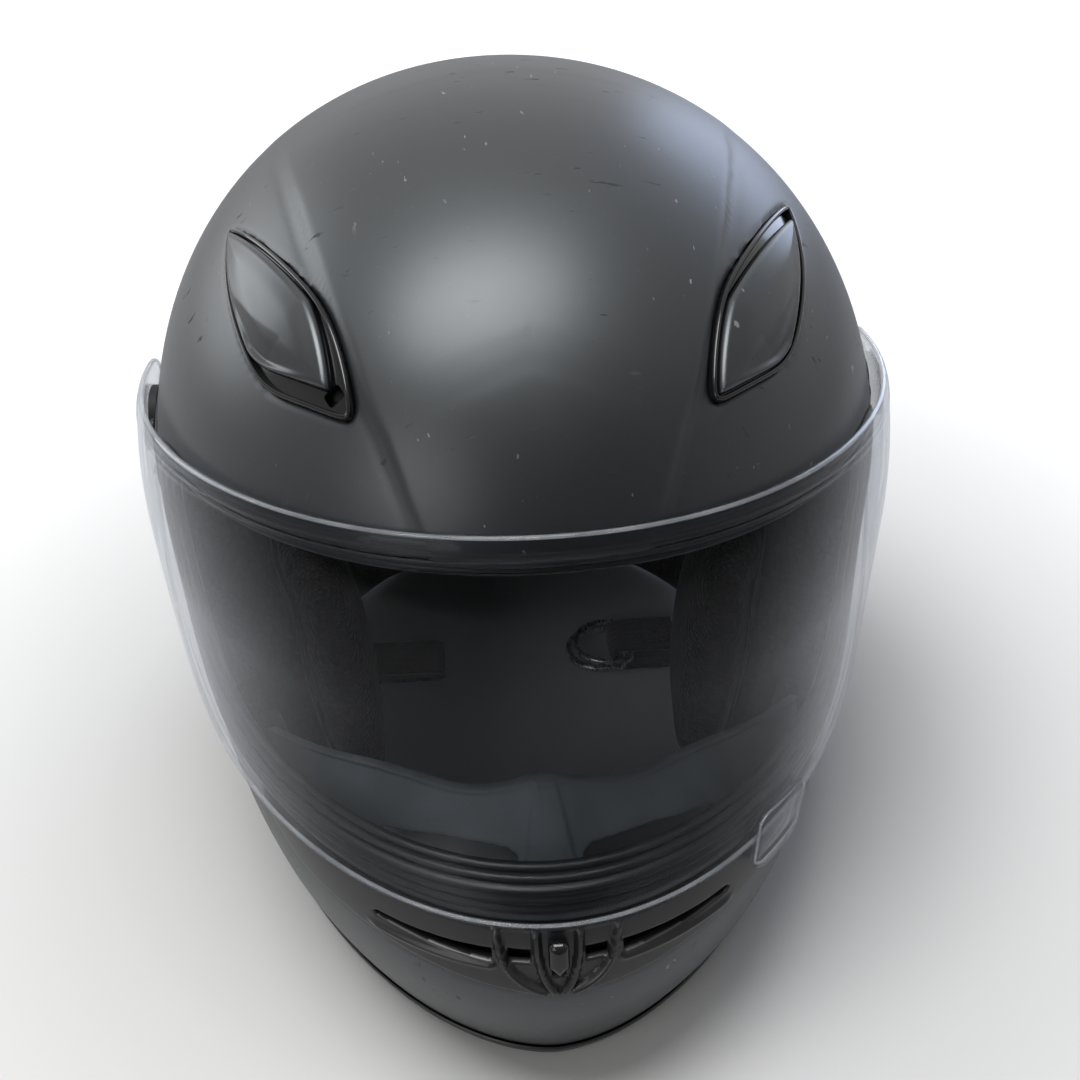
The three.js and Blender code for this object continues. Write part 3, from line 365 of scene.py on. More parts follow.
def side_basis(y, z, out=0.0):
    """A frame on the wearer's left side: x to the rear, y up and z out of the skin."""
    step = 4

    def at(dy, dz):
        return skin(bearing_at(y + dy, z + dz, out), z + dz, out)

    rear = unit(at(step, 0) - at(-step, 0))
    normal = unit(np.cross(rear, unit(at(0, step) - at(0, -step))))
    return basis_at(at(0, 0), rear, np.cross(normal, rear), normal)


# ---------------------------------------------------------------- materials


class Tree:
    """Adds and links nodes in one node tree."""

    def __init__(self, tree):
        self.tree = tree

    def add(self, kind, inputs=None, **settings):
        node = self.tree.nodes.new(kind)
        for key, value in settings.items():
            setattr(node, key, value)
        for key, value in (inputs or {}).items():
            self.set(node.inputs[key], value)
        return node

    def set(self, socket, value):
        if isinstance(value, bpy.types.NodeSocket):
            self.tree.links.new(value, socket)
        else:
            socket.default_value = value

    def math(self, operation, a, b=0.0, c=0.0):
        node = self.add("ShaderNodeMath", operation=operation)
        for socket, value in zip(node.inputs, (a, b, c)):
            self.set(socket, value)
        return node.outputs[0]

    def ramp(self, value, low, high, to_low=0.0, to_high=1.0):
        inputs = {"Value": value, "From Min": low, "From Max": high, "To Min": to_low, "To Max": to_high}
        return self.add("ShaderNodeMapRange", inputs).outputs[0]


class Nodes(Tree):
    """Builds one material's node tree round its Principled shader."""

    def __init__(self, name, colour, roughness, metallic=0.0, **sockets):
        self.material = bpy.data.materials.new(name)
        self.material.use_nodes = True
        super().__init__(self.material.node_tree)
        self.shader = self.tree.nodes["Principled BSDF"]
        self.shader.inputs["Base Color"].default_value = (*colour, 1)
        self.shader.inputs["Roughness"].default_value = roughness
        self.shader.inputs["Metallic"].default_value = metallic
        for key, value in sockets.items():
            self.shader.inputs[key.replace("_", " ")].default_value = value
        self.place = self.add("ShaderNodeTexCoord").outputs["Object"]

    def scaled(self, stretch, turn=(0, 0, 0)):
        mapping = self.add("ShaderNodeMapping", {"Vector": self.place, "Scale": stretch, "Rotation": turn})
        return mapping.outputs[0]

    def noise(self, scale, detail=2.0, vector=None, roughness=0.5):
        inputs = {"Vector": vector or self.place, "Scale": scale, "Detail": detail, "Roughness": roughness}
        return self.add("ShaderNodeTexNoise", inputs).outputs[0]

    def cells(self, scale, feature="F1", vector=None):
        inputs = {"Vector": vector or self.place, "Scale": scale}
        return self.add("ShaderNodeTexVoronoi", inputs, feature=feature).outputs["Distance"]

    def axis(self, index):
        return self.add("ShaderNodeSeparateXYZ", {"Vector": self.place}).outputs[index]

    def mix(self, share, a, b):
        node = self.add("ShaderNodeMix", data_type="RGBA")
        self.set(node.inputs[0], share)
        for socket, value in zip((node.inputs[6], node.inputs[7]), (a, b)):
            self.set(socket, value if isinstance(value, bpy.types.NodeSocket) else (*value, 1))
        return node.outputs[2]

    def bump(self, height, strength, distance):
        inputs = {"Height": height, "Strength": strength, "Distance": distance}
        if self.shader.inputs["Normal"].is_linked:
            inputs["Normal"] = self.shader.inputs["Normal"].links[0].from_socket
        bump = self.add("ShaderNodeBump", inputs)
        self.set(self.shader.inputs["Normal"], bump.outputs[0])

    def colour(self, value):
        self.set(self.shader.inputs["Base Color"], value)

    def mottled(self, cloud, low, high, colour, dark, light):
        """Clouds the colour between darker and lighter shares of itself."""
        shades = [[c * share for c in colour] for share in (dark, light)]
        self.colour(self.mix(self.ramp(cloud, low, high), *shades))

    def roughness(self, value):
        self.set(self.shader.inputs["Roughness"], value)


def paint(name, worn, gloss=0.38):
    """Black lacquer: fine orange peel, uneven gloss, dark gouges and a few pale scuffs."""
    # The cool specular tint stands in for cool room light: a painted blue cast on the lacquer's
    # reflections.
    tint = (0.89, 0.955, 1.0, 1)
    n = Nodes(name, (0.0048, 0.005, 0.006), 0.4, Specular_IOR_Level=0.9, Specular_Tint=tint)
    cloud = n.noise(14, 4)
    fine = n.noise(1600, 2)
    dust = n.ramp(n.noise(420, 3), 0.66, 0.72)
    stroke = n.noise(1.0, 3, n.scaled((95, 420, 160), (0.3, 0.2, 0.5)))
    gouge = n.math("MULTIPLY", n.ramp(stroke, 0.68, 0.71), n.ramp(n.noise(30, 2), 0.48, 0.58))
    gouge = n.math("MULTIPLY", gouge, worn)
    other = n.noise(1.0, 3, n.scaled((420, 110, 300), (0.1, 0.5, 0.9)))
    scuff = n.math("MULTIPLY", n.ramp(other, 0.7, 0.73), n.ramp(n.noise(22, 2), 0.5, 0.6))
    scuff = n.math("MULTIPLY", scuff, worn)
    base = n.mix(n.ramp(cloud, 0.35, 0.7), (0.0042, 0.0044, 0.0052), (0.0062, 0.0065, 0.0078))
    dusty = n.mix(n.math("MULTIPLY", dust, 0.1 * worn), base, (0.07, 0.07, 0.075))
    n.colour(n.mix(n.math("MULTIPLY", scuff, 0.55), dusty, (0.36, 0.36, 0.37)))
    marked = n.math("MULTIPLY_ADD", gouge, 0.45, n.math("MULTIPLY", scuff, 0.2))
    n.roughness(n.math("ADD", n.ramp(cloud, 0.3, 0.7, gloss, gloss + 0.04), marked))
    n.bump(fine, 0.12, 0.0001)
    n.bump(n.math("SUBTRACT", scuff, gouge), 0.25, 0.0001)
    return n.material


def plastic(name, colour, roughness, grain=1400, depth=0.15, spread=0.05):
    n = Nodes(name, colour, roughness)
    cloud = n.noise(45, 4)
    n.mottled(cloud, 0.35, 0.65, colour, 0.8, 1.25)
    n.roughness(n.ramp(cloud, 0.3, 0.7, roughness - spread, roughness + spread))
    n.bump(n.noise(grain, 2), depth, 0.0001)
    return n.material


def grained(name, colour, roughness, cell=1500, depth=0.5):
    """Moulded leather grain, as on a rubber or plastic inner part."""
    n = Nodes(name, colour, roughness)
    cells = n.cells(cell)
    cloud = n.noise(60, 4)
    n.mottled(cloud, 0.3, 0.7, colour, 0.75, 1.2)
    n.roughness(n.ramp(cells, 0.0, 0.6, roughness - 0.08, roughness + 0.1))
    n.bump(cells, depth, 0.0002)
    n.bump(n.noise(4000, 2), 0.15, 0.00005)
    return n.material


def beads():
    """Expanded bead foam in black."""
    n = Nodes("bead_foam", (0.02, 0.02, 0.021), 0.7)
    edge = n.cells(330, "DISTANCE_TO_EDGE")
    n.colour(n.mix(n.ramp(edge, 0.0, 0.09), (0.006, 0.006, 0.007), (0.026, 0.026, 0.028)))
    n.bump(n.ramp(edge, 0.0, 0.16), 0.6, 0.0004)
    n.bump(n.noise(2600, 2), 0.2, 0.0001)
    return n.material


def knit(name, colour, pile=0.5):
    """Brushed knit: rows of small loops under a soft nap."""
    nap_looks = {"Sheen_Weight": pile, "Sheen_Roughness": 0.4, "Sheen_Tint": (0.45, 0.45, 0.44, 1)}
    n = Nodes(name, colour, 0.95, Specular_IOR_Level=0.06, **nap_looks)
    warp = n.scaled((1, 0.7, 1.4), (0.5, 0.35, 0.6))
    loops = n.cells(640, vector=warp)
    nap = n.noise(1500, 3)
    patch = n.noise(35, 3)
    # Colour follows the loops as the bump does: painted shade in the gaps between loops and painted light
    # on their tops, varied in random patches.
    dark, light = [c * 0.5 for c in colour], [c * 2.2 for c in colour]
    lit = n.math("MULTIPLY", n.ramp(loops, 0.1, 0.6, 1, 0), n.ramp(patch, 0.2, 0.8, 0.5, 1))
    n.colour(n.mix(lit, dark, light))
    n.bump(n.ramp(loops, 0.0, 0.7, 1, 0), 0.8, 0.0006)
    n.bump(nap, 0.35, 0.0002)
    return n.material


def webbing():
    """Woven strap: ribs across the strap, crossed by fine threads."""
    n = Nodes("strap_weave", (0.01, 0.01, 0.011), 0.8, Sheen_Weight=0.25, Sheen_Roughness=0.4)
    along = n.math("ADD", n.axis(0), n.axis(2))
    zigzag = n.math("PINGPONG", n.axis(1), 0.0018)
    ribs = n.math("SINE", n.math("MULTIPLY", n.math("ADD", along, zigzag), 5200))
    threads = n.math("SINE", n.math("MULTIPLY", n.axis(1), 7000))
    weave = n.math("MULTIPLY_ADD", threads, 0.35, ribs)
    # Colour follows the weave's relief as the bump does: painted shade in the grooves and painted light on
    # the rib tops.
    n.colour(n.mix(n.ramp(weave, -1.2, 1.2), (0.004, 0.004, 0.0045), (0.02, 0.02, 0.022)))
    n.bump(weave, 0.6, 0.0003)
    n.bump(n.noise(3000, 2), 0.2, 0.0001)
    return n.material


def steel(name, stretch, roughness=0.26, colour=(0.56, 0.565, 0.58)):
    n = Nodes(name, colour, roughness, 1.0)
    streaks = n.noise(1.0, 3, n.scaled(stretch))
    n.roughness(n.ramp(streaks, 0.3, 0.7, roughness - 0.07, roughness + 0.12))
    n.mottled(n.noise(90, 3), 0.35, 0.65, colour, 0.9, 1.1)
    n.bump(streaks, 0.12, 0.00005)
    return n.material


def clear_visor():
    """Thin clear polycarbonate with a slight smoke tint, mirroring more at a glancing angle."""
    n = Nodes("visor_clear", (0.5, 0.5, 0.5), 0.02)
    tree = n.tree
    smear = n.noise(26, 4, n.scaled((1, 1, 0.35)))
    tint = n.mix(n.ramp(smear, 0.35, 0.65), (0.8, 0.815, 0.83), (0.84, 0.85, 0.86))
    through = n.add("ShaderNodeBsdfTransparent", {"Color": tint})
    mirror = n.add("ShaderNodeBsdfGlossy", {"Color": (0.95, 0.96, 1.0, 1)})
    n.set(mirror.inputs["Roughness"], n.ramp(smear, 0.3, 0.7, 0.015, 0.05))
    facing = n.add("ShaderNodeLayerWeight", {"Blend": 0.5}).outputs["Facing"]
    share = n.math("MULTIPLY_ADD", n.math("POWER", facing, 4.0), 0.75, 0.008)
    blend = n.add("ShaderNodeMixShader", {0: share, 1: through.outputs[0], 2: mirror.outputs[0]})
    tree.nodes.remove(n.shader)
    tree.links.new(blend.outputs[0], tree.nodes["Material Output"].inputs["Surface"])
    return n.material


def lit_edge():
    """The visor's polished edge as a pale, partly see-through colour: a painted highlight where the edge
    catches light.
    """
    n = Nodes("visor_edge", (0.62, 0.65, 0.69), 0.12, Alpha=0.32)
    painted_glint_and_roughness_noise = n.noise(70, 3)
    # Random patches vary the painted highlight's brightness and the edge's roughness.
    n.colour(n.mix(n.ramp(painted_glint_and_roughness_noise, 0.35, 0.65), (0.5, 0.53, 0.57), (0.74, 0.77, 0.8)))
    n.roughness(n.ramp(painted_glint_and_roughness_noise, 0.3, 0.7, 0.08, 0.2))
    return n.material


def floor_material():
    """Pale ground that the camera sees as white further out. Its camera-ray glow fades out under and round
    the helmet, a painted shade there; cast shadows stay.
    """
    white = (1, 1, 1, 1)
    n = Nodes("studio_floor", (0.66, 0.66, 0.66), 0.9, Specular_IOR_Level=0.1, Emission_Color=white)
    seen = n.add("ShaderNodeLightPath").outputs["Is Camera Ray"]
    away = n.add("ShaderNodeVectorMath", {0: n.place}, operation="LENGTH").outputs["Value"]
    # No glow within 0.17 m of the floor's middle, rising out to 0.4 m: painted shade under and round the
    # helmet. The far ramp evens out the distant floor.
    near, far = n.ramp(away, 0.17, 0.4, 0, 0.42), n.ramp(away, 0.7, 2.6, 0, 0.8)
    n.set(n.shader.inputs["Emission Strength"], n.math("MULTIPLY", seen, n.math("ADD", near, far)))
    return n.material


SHELL_PAINT = paint("shell_paint", 1.0)
VENT_PAINT = paint("vent_paint", 0.8, 0.3)
GLOSS = plastic("gloss_plastic", (0.006, 0.006, 0.007), 0.12, 500, 0.03, 0.04)
SATIN = plastic("satin_plastic", (0.012, 0.012, 0.013), 0.33, 1800, 0.12)
INNER = grained("inner_plastic", (0.014, 0.014, 0.015), 0.5)
RUBBER = plastic("seal_rubber", (0.012, 0.0125, 0.0135), 0.36, 2400, 0.15, 0.06)
GUARD = grained("guard_rubber", (0.078, 0.088, 0.096), 0.48, 1700, 0.22)
DARK_STEEL = steel("dark_steel", (500, 500, 500), 0.4, (0.055, 0.055, 0.058))
FOAM = beads()
# The crown pad and neck roll get a darker copy of the cheek pads' knit, with less sheen: painted shade
# inside the helmet.
KNIT_PAINTED_DARKER = knit("comfort_knit", (0.007, 0.007, 0.0074), 0.05)
NAPPED = knit("napped_knit", (0.012, 0.012, 0.0113), 0.28)
PIPING = knit("piping_knit", (0.006, 0.006, 0.0065), 0.1)
WEBBING = webbing()
THREAD = knit("thread", (0.02, 0.02, 0.021), 0.3)
STEEL = steel("ring_steel", (900, 60, 900))
SCREW = steel("screw_steel", (500, 500, 500), 0.34)
VISOR = clear_visor()
EDGE = lit_edge()

# ---------------------------------------------------------------- camera


LENS, SENSOR = 42.1, 36.0
CAMERA_PLACE = (-18.44, -414.33, 380.26)
CAMERA_RIGHT = (0.99705, -0.07572, -0.01275)
CAMERA_AHEAD = (0.05406, 0.81022, -0.58363)


def camera():
    data = bpy.data.cameras.new("camera")
    data.sensor_width, data.lens = SENSOR, LENS
    data.clip_start, data.clip_end = 0.01, 30
    obj = bpy.data.objects.new("camera", data)
    bpy.context.scene.collection.objects.link(obj)
    right = Vector(CAMERA_RIGHT).normalized()
    ahead = Vector(CAMERA_AHEAD).normalized()
    facing = Matrix((right, right.cross(ahead), -ahead)).transposed().to_4x4()
    spot = (Vector(CAMERA_PLACE) + Vector((0, SHIFT, 0))) * MM
    obj.matrix_world = Matrix.Translation(spot) @ facing
    bpy.context.scene.camera = obj


camera()

# ---------------------------------------------------------------- outlines


def port_outline(grow):
    """The eye port in side view, as (y, z)."""
    low = VISOR_BOTTOM + LAP_BOTTOM - grow
    rear = PORT_REAR + grow

    def top(y):
        return visor_top_at(y) - LAP_TOP + grow

    lower = bezier((PORT_REAR - 60, low), (PORT_REAR - 28, low), (rear, low + 16), (rear, low + 46))
    upper = bezier((rear, top(rear) - 20), (rear, top(rear)), (PORT_REAR - 26, top(PORT_REAR - 26)))
    return lower, upper, top


def port_polygon(grow):
    lower, upper, top = port_outline(grow)
    return np.concatenate([[(FAR_FRONT, lower[0, 1])], lower, upper, [(FAR_FRONT, top(FAR_FRONT))]])


def visor_polygon():
    low_ear, high_ear = 230 * DEG, 450 * DEG - TOP_FALL
    start = (EAR_RADIUS * math.cos(low_ear), PIVOT_Z + EAR_RADIUS * math.sin(low_ear))
    lower = bezier((-128, VISOR_BOTTOM), (-92, VISOR_BOTTOM), (-44, VISOR_BOTTOM + 15), start)
    turn = np.linspace(low_ear, high_ear, 60)[1:]
    ear = np.stack([EAR_RADIUS * np.cos(turn), PIVOT_Z + EAR_RADIUS * np.sin(turn)], -1)
    return np.concatenate([[(FAR_FRONT, VISOR_BOTTOM)], lower, ear, [(FAR_FRONT, visor_top_at(FAR_FRONT))]])


def plate_polygon(grow):
    radius, nose = 20 + grow, 9 + grow
    first = np.linspace(-112, 100, 40) * DEG
    second = np.linspace(100, 248, 24) * DEG
    return np.concatenate([
        np.stack([radius * np.cos(first), PIVOT_Z + radius * np.sin(first)], -1),
        np.stack([-35 + nose * np.cos(second), PIVOT_Z + 2 + nose * np.sin(second)], -1),
    ])


def dense(outline, step=0.25, soften=2):
    """A closed outline resampled and softened at its corners."""
    closed = np.concatenate([outline, outline[:1]])
    length = path_length(closed)
    at = np.linspace(0, length[-1], int(length[-1] / step), endpoint=False)
    points = resampled(closed, length, at)
    for _ in range(soften):
        points = (np.roll(points, 1, 0) + 2 * points + np.roll(points, -1, 0)) / 4
    return points


def leaf_outline():
    """The top vent's outline in (across, along), with its tips rounded."""
    left = np.concatenate([
        bezier((-9, 53), (-16, 32), (-19.5, 8), (-20.5, -12)),
        bezier((-20.5, -12), (-21, -23), (-15.5, -31)),
        [(-3.2, -52)],
    ])
    right = np.concatenate([
        bezier((-9, 53), (-2, 36), (5.5, 8), (7.4, -11)),
        bezier((7.4, -11), (8.5, -22), (5, -38), (-3.2, -52)),
    ])
    return dense(np.concatenate([left, right[::-1][1:-1]]), 0.5, 130)


LEAF = leaf_outline()


def cover_low(x):
    run = np.abs(x) / 76
    close = clamp((np.abs(x) - 72) / (COVER_HALF - 72))
    return COVER_LOW + 8.5 * run**1.2 + (COVER_TOP - COVER_LOW - 14) * close**2


def cover_polygon(margin):
    x = np.linspace(-COVER_HALF - 2 * margin, COVER_HALF + 2 * margin, 81)
    low = np.stack([x, cover_low(x) - margin], -1)
    return np.concatenate([low, [(x[-1], COVER_TOP + margin), (x[0], COVER_TOP + margin)]])


# ---------------------------------------------------------------- top vent frame


def vent_frame():
    normal = skin_normal(VENT_BEARING, VENT_Z)
    heading = np.array([-math.sin(VENT_SPLAY), math.cos(VENT_SPLAY), 0.0])
    along = unit(heading - normal * heading.dot(normal))
    return skin(VENT_BEARING, VENT_Z), np.cross(along, normal), along, normal


VENT = vent_frame()


def vent_point(across, along, off):
    """A point on the wearer's right-hand vent, off the arc that the shutter runs on."""
    centre, side, ahead, normal = VENT
    axis = centre - normal * VENT_ARC
    radius = VENT_ARC + off - across**2 / (2 * VENT_CROSS)
    turn = along / VENT_ARC
    return (
        axis
        + np.multiply.outer(across, side)
        + np.multiply.outer(radius * np.sin(turn), ahead)
        + np.multiply.outer(radius * np.cos(turn), normal)
    )


def vent_places(points):
    """(across, along, off) of points on either side of the helmet."""
    centre, side, ahead, normal = VENT
    near = np.stack([-np.abs(points[:, 0]), points[:, 1], points[:, 2]], -1) - (centre - normal * VENT_ARC)
    down, forth = near @ normal, near @ ahead
    return near @ side, np.arctan2(forth, down) * VENT_ARC, np.hypot(down, forth) - VENT_ARC


# ---------------------------------------------------------------- outer shell

CREASE = np.array([
    (86, 108, 196), (87, 80, 214), (84, 45, 231), (79, 20, 239), (73, -5, 244), (68.5, -28, 244),
    (64, -51, 242.5), (58, -76.5, 237), (53, -93, 230.6), (48.5, -107, 224), (44, -120, 215),
    (40, -128, 209), (36.5, -135, 201.5), (32, -143, 191), (27, -150, 178),
], float)
CREASE_RISE, CREASE_HALF = 1.3, 3.0
GROOVE, STEP_GROOVE = 0.32, 0.2


def crease_height(points):
    """The centre panel stands a little proud of the sides of the shell."""
    side = np.stack([np.abs(points[:, 0]), points[:, 1], points[:, 2]], -1)
    best = np.full(len(side), 1e9)
    signed = np.zeros(len(side))
    share = np.zeros(len(side))
    for k, (a, b) in enumerate(zip(CREASE[:-1], CREASE[1:])):
        run = b - a
        t = clamp(((side - a) @ run) / (run @ run))
        gap = side - a - t[:, None] * run
        distance = np.linalg.norm(gap, axis=1)
        normal = unit(np.cross(run, a + b - [0, 0, 260]))
        sign = np.sign(gap @ normal) * np.sign(normal[0])
        closer = distance < best
        best = np.where(closer, distance, best)
        signed = np.where(closer, -sign * distance, signed)
        share = np.where(closer, (k + t) / (len(CREASE) - 1), share)
    fade = smooth((share - 0.12) / 0.34) * (1 - 0.6 * smooth((share - 0.68) / 0.32))
    raised = smooth((signed + CREASE_HALF) / (2 * CREASE_HALF))
    foot = (signed + CREASE_HALF) / 1.2
    groove = GROOVE * np.exp(-(signed**2)) + STEP_GROOVE * np.exp(-(foot**2))
    return fade * (CREASE_RISE * raised - groove)


def dome_grid(bearings, low, wall_rows, crown_rows):
    """(bearing, wall height or crown angle) rows for a dome that is open below, and its faces.

    The first column comes again a whole turn on, so that cuts run on across the seam.
    """
    columns = np.append(bearings, bearings[0] + 2 * math.pi)
    rows = []
    for theta in columns:
        floor = low(theta)
        rows += [(theta, floor + (WIDEST - floor) * t) for t in np.linspace(0, 1, wall_rows)]
        rows += [(theta, WIDEST + t) for t in np.linspace(0, 90, crown_rows + 1)[1:]]
    return np.array(rows), grid_faces(len(columns), wall_rows + crown_rows)


def dome_points(values, side, ends=None, top=None, relief=0.0):
    """Points of a dome layer. Above the widest station the second value is an angle."""
    ends = side if ends is None else ends
    top = ends if top is None else top
    theta, level = values[:, 0], values[:, 1]
    angle = clamp(level - WIDEST, 0, 90) * DEG
    rise = (HEIGHT + top + relief - WIDEST) * np.sin(angle) ** (2 / CROWN_POWER)
    z = np.where(level > WIDEST, WIDEST + rise, level)
    return skin(theta, z, side + relief, ends + relief, top + relief)


def outer_shell():
    bearings = np.concatenate([np.arange(-150, -30, 0.4), np.arange(-30, 210, 1.5)]) * DEG
    lift = TRIM_WALL + SEAM
    values, faces = dome_grid(bearings, lambda theta: edge_height(theta) + lift, 62, 140)
    points = dome_points(values, 0)
    across, along, off = vent_places(points)
    by_vent = (np.abs(off) < 25) & (points[:, 2] > 150)
    leaf = np.where(by_vent, polygon_distance(across, along, LEAF) - SEAM, CLEAR)
    port = polygon_distance(points[:, 1], points[:, 2], port_polygon(0))
    slot_x = skin(values[:, 0], SLOT_Z)[:, 0]
    cover = polygon_distance(slot_x, points[:, 2], cover_polygon(SEAM))
    cover = np.where(points[:, 1] < 0, cover, CLEAR)
    plate = polygon_distance(points[:, 1], points[:, 2], plate_polygon(SEAM))
    field = np.minimum.reduce([leaf, port, cover, plate])
    values, faces = clip(np.column_stack([values, field]), faces, field)
    relief = crease_height(dome_points(values, 0))
    edge = rounded(values[:, 2], 1.0, 0.5)
    outer = dome_points(values, 0, relief=relief - edge)
    inner = dome_points(values, -SHELL_WALL)
    points, faces = thick(outer, inner, faces)
    obj = piece("shell_body", points, faces, SHELL_PAINT, "shell_paint", sharp=40)
    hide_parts("outer_shell")


# ---------------------------------------------------------------- lower edge trim


def ring_profile(bearings, profile, base):
    """A closed profile of (height above the edge, out) carried round the helmet."""
    rise, out = np.array(profile, float).T
    return loft([skin(theta, base(theta) + rise, out) for theta in bearings], closed_loft=True)


def lower_trim():
    lip = TRIM_WALL + SEAM
    inside = -SHELL_WALL - lip
    outer_face = [(0.5, lip - 0.55), (0.15, lip - 1.1), (0, lip - 1.6)]
    inner_face = [(0, inside + 1.6), (0.15, inside + 1.1), (0.5, inside + 0.5)]
    profile = [
        (1.2, lip - 0.15), (2, lip), (4.6, lip), (4.9, lip - 0.3), (5.2, lip), (7.1, lip),
        (7.7, lip - 0.25), (8, lip - 0.8), (7.6, SEAM), (1.4, SEAM), (1.4, -SHELL_WALL - SEAM),
        (7.6, -SHELL_WALL - SEAM), (8, inside + 0.7), (7.6, inside), (1.2, inside),
    ]
    profile = profile + inner_face[::-1] + outer_face[::-1]
    part = ring_profile(np.linspace(-90, 270, 241)[:-1] * DEG, profile, edge_height)
    obj = piece("rim_trim", *part, RUBBER, "seal_rubber", sharp=50)
    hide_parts("lower_edge_trim")


# ---------------------------------------------------------------- eye port gasket


def port_loop(grow, out):
    """Bearings and heights of the port's edge on the wearer's left, from its low front to its top front."""
    lower, upper, top = port_outline(grow)
    flat = np.linspace(CHIN, bearing_at(lower[0, 0], lower[0, 1], out), 60)[:-1]
    path = np.concatenate([lower, [(lower[-1] * (1 - t) + upper[0] * t) for t in (0.25, 0.5, 0.75)], upper])
    corner = bearing_at(path[:, 0], path[:, 1], out)
    brow = np.linspace(corner[-1], CHIN, 60)[1:]
    height = np.full(brow.shape, upper[-1, 1])
    for _ in range(12):
        height = top(skin(brow, height, out)[:, 1])
    theta = np.concatenate([flat, corner, brow])
    z = np.concatenate([np.full(flat.shape, lower[0, 1]), path[:, 1], height])
    return np.column_stack([theta, z])


def around_port(profile):
    """Carries (grow, out) round the whole port. The lips are lower along its upper edge."""
    left = []
    for grow, out in profile:
        theta, z = port_loop(grow, out).T
        calm = 1 - 0.6 * smooth((z - 125) / 40) if out > 0.3 else 1.0
        left.append(skin(theta, z, out * calm))
    rings = [np.array([side[k] for side in left]) for k in range(len(left[0]))]
    mirrored = [ring * [-1, 1, 1] for ring in rings[1:-1][::-1]]
    return loft(rings + mirrored, closed_loft=True)


def gasket():
    profile = [
        (5, 0.3), (4.8, 0.9), (4.2, 1.15), (3.5, 0.9), (3.1, 0.1), (2.7, 0.1), (2.3, 0.8), (1.7, 1.15),
        (1.0, 0.85), (0.6, 0.0), (0.3, 0.0), (-0.1, 0.7), (-0.7, 0.9), (-1.3, 0.5), (-1.7, -0.5),
        (-1.8, -1.5), (-2.5, -1.0), (-3.1, -1.1), (-3.5, -2.0), (-3.5, -3.4), (-4.3, -2.9),
        (-4.9, -3.2), (-5.2, -4.2), (-5.1, -5.4), (-4.0, -5.9), (0.5, -5.4), (4.6, -4.7), (5, -4.3),
        (4.8, -3.8), (0.3, -3.8), (0.3, 0.0), (2.9, 0.0),
    ]
    obj = piece("port_seal", *around_port(profile), RUBBER, "seal_rubber", sharp=55)
    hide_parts("eyeport_gasket")


# ---------------------------------------------------------------- visor


def visor_span(theta, out):
    """Lowest and highest z of the visor's outline at a bearing on the wearer's left."""
    outline = visor_polygon()
    levels = np.linspace(VISOR_BOTTOM - 1, 203, 500)

    def field(z):
        y = skin(theta, z, out, flare=EAR_FLARE)[..., 1]
        return -polygon_distance(y, z, outline)

    inside = np.nonzero(field(levels) > 0)[0]
    ends = []
    for a, b in ((levels[inside[0] - 1], levels[inside[0]]), (levels[inside[-1] + 1], levels[inside[-1]])):
        for _ in range(24):
            mid = (a + b) / 2
            a, b = (a, mid) if field(np.array([mid]))[0] > 0 else (mid, b)
        ends.append((a + b) / 2)
    return ends


def visor_shield():
    middle = VISOR_GAP + VISOR_WALL / 2
    tip = float(bearing_at(np.array([EAR_RADIUS - 0.02]), np.array([PIVOT_Z]), middle, EAR_FLARE)[0])
    front = np.linspace(CHIN, -14 * DEG, 80)
    rest = -14 * DEG + (tip + 14 * DEG) * np.sin(np.linspace(0, 90, 34)[1:] * DEG)
    edge = np.array([0, 0.12, 0.35, 0.7, 1.1, 1.7, 2.6, 3.0, 3.5, 4.0, 4.5, 5.2, 5.7, 6.2, 7.2, 9.0])
    outline = visor_polygon()
    rows = []
    for theta in np.concatenate([front, rest]):
        low, high = visor_span(theta, middle)
        near = edge * min(1, 0.4 * (high - low) / edge[-1])
        between = np.linspace(low + near[-1], high - near[-1], 34)[1:-1]
        z = np.concatenate([low + near, between, high - near[::-1]])
        rows.append(np.column_stack([np.full(z.shape, theta), z]))
    values = np.concatenate(rows)
    y = skin(values[:, 0], values[:, 1], middle, flare=EAR_FLARE)[:, 1]
    inward = np.maximum(-polygon_distance(y, values[:, 1], outline), 0)
    half = VISOR_WALL / 2
    thickness = half - rounded(inward, half)
    top_gap = visor_top_at(y) - values[:, 1]
    rib = smooth((top_gap - 2.5) / 0.5) * smooth((4.2 - top_gap) / 0.5)
    rib = rib + smooth((top_gap - 5) / 0.4) * smooth((6.1 - top_gap) / 0.4)
    fade = smooth((inward - 1.5) / 1)
    outer = skin(values[:, 0], values[:, 1], middle + thickness + 0.3 * rib * fade, flare=EAR_FLARE)
    inner = skin(values[:, 0], values[:, 1], middle - thickness, flare=EAR_FLARE)
    columns = len(rows[0])
    faces = grid_faces(len(rows), columns)
    left = joined((outer, faces), (inner, [tuple(reversed(f)) for f in faces]))
    whole = joined(left, mirror_x(left))
    obj = piece("visor_shield", *whole, VISOR, "visor_clear", "visor", sharp=75, merge=0.03)
    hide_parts("visor")


TAB_OUTLINE = np.array([
    (62, 74.5), (66.5, 71.6), (79.5, 71.2), (81, 73), (82.5, 83), (80.8, 86.5), (66, 88.5), (63, 87),
])


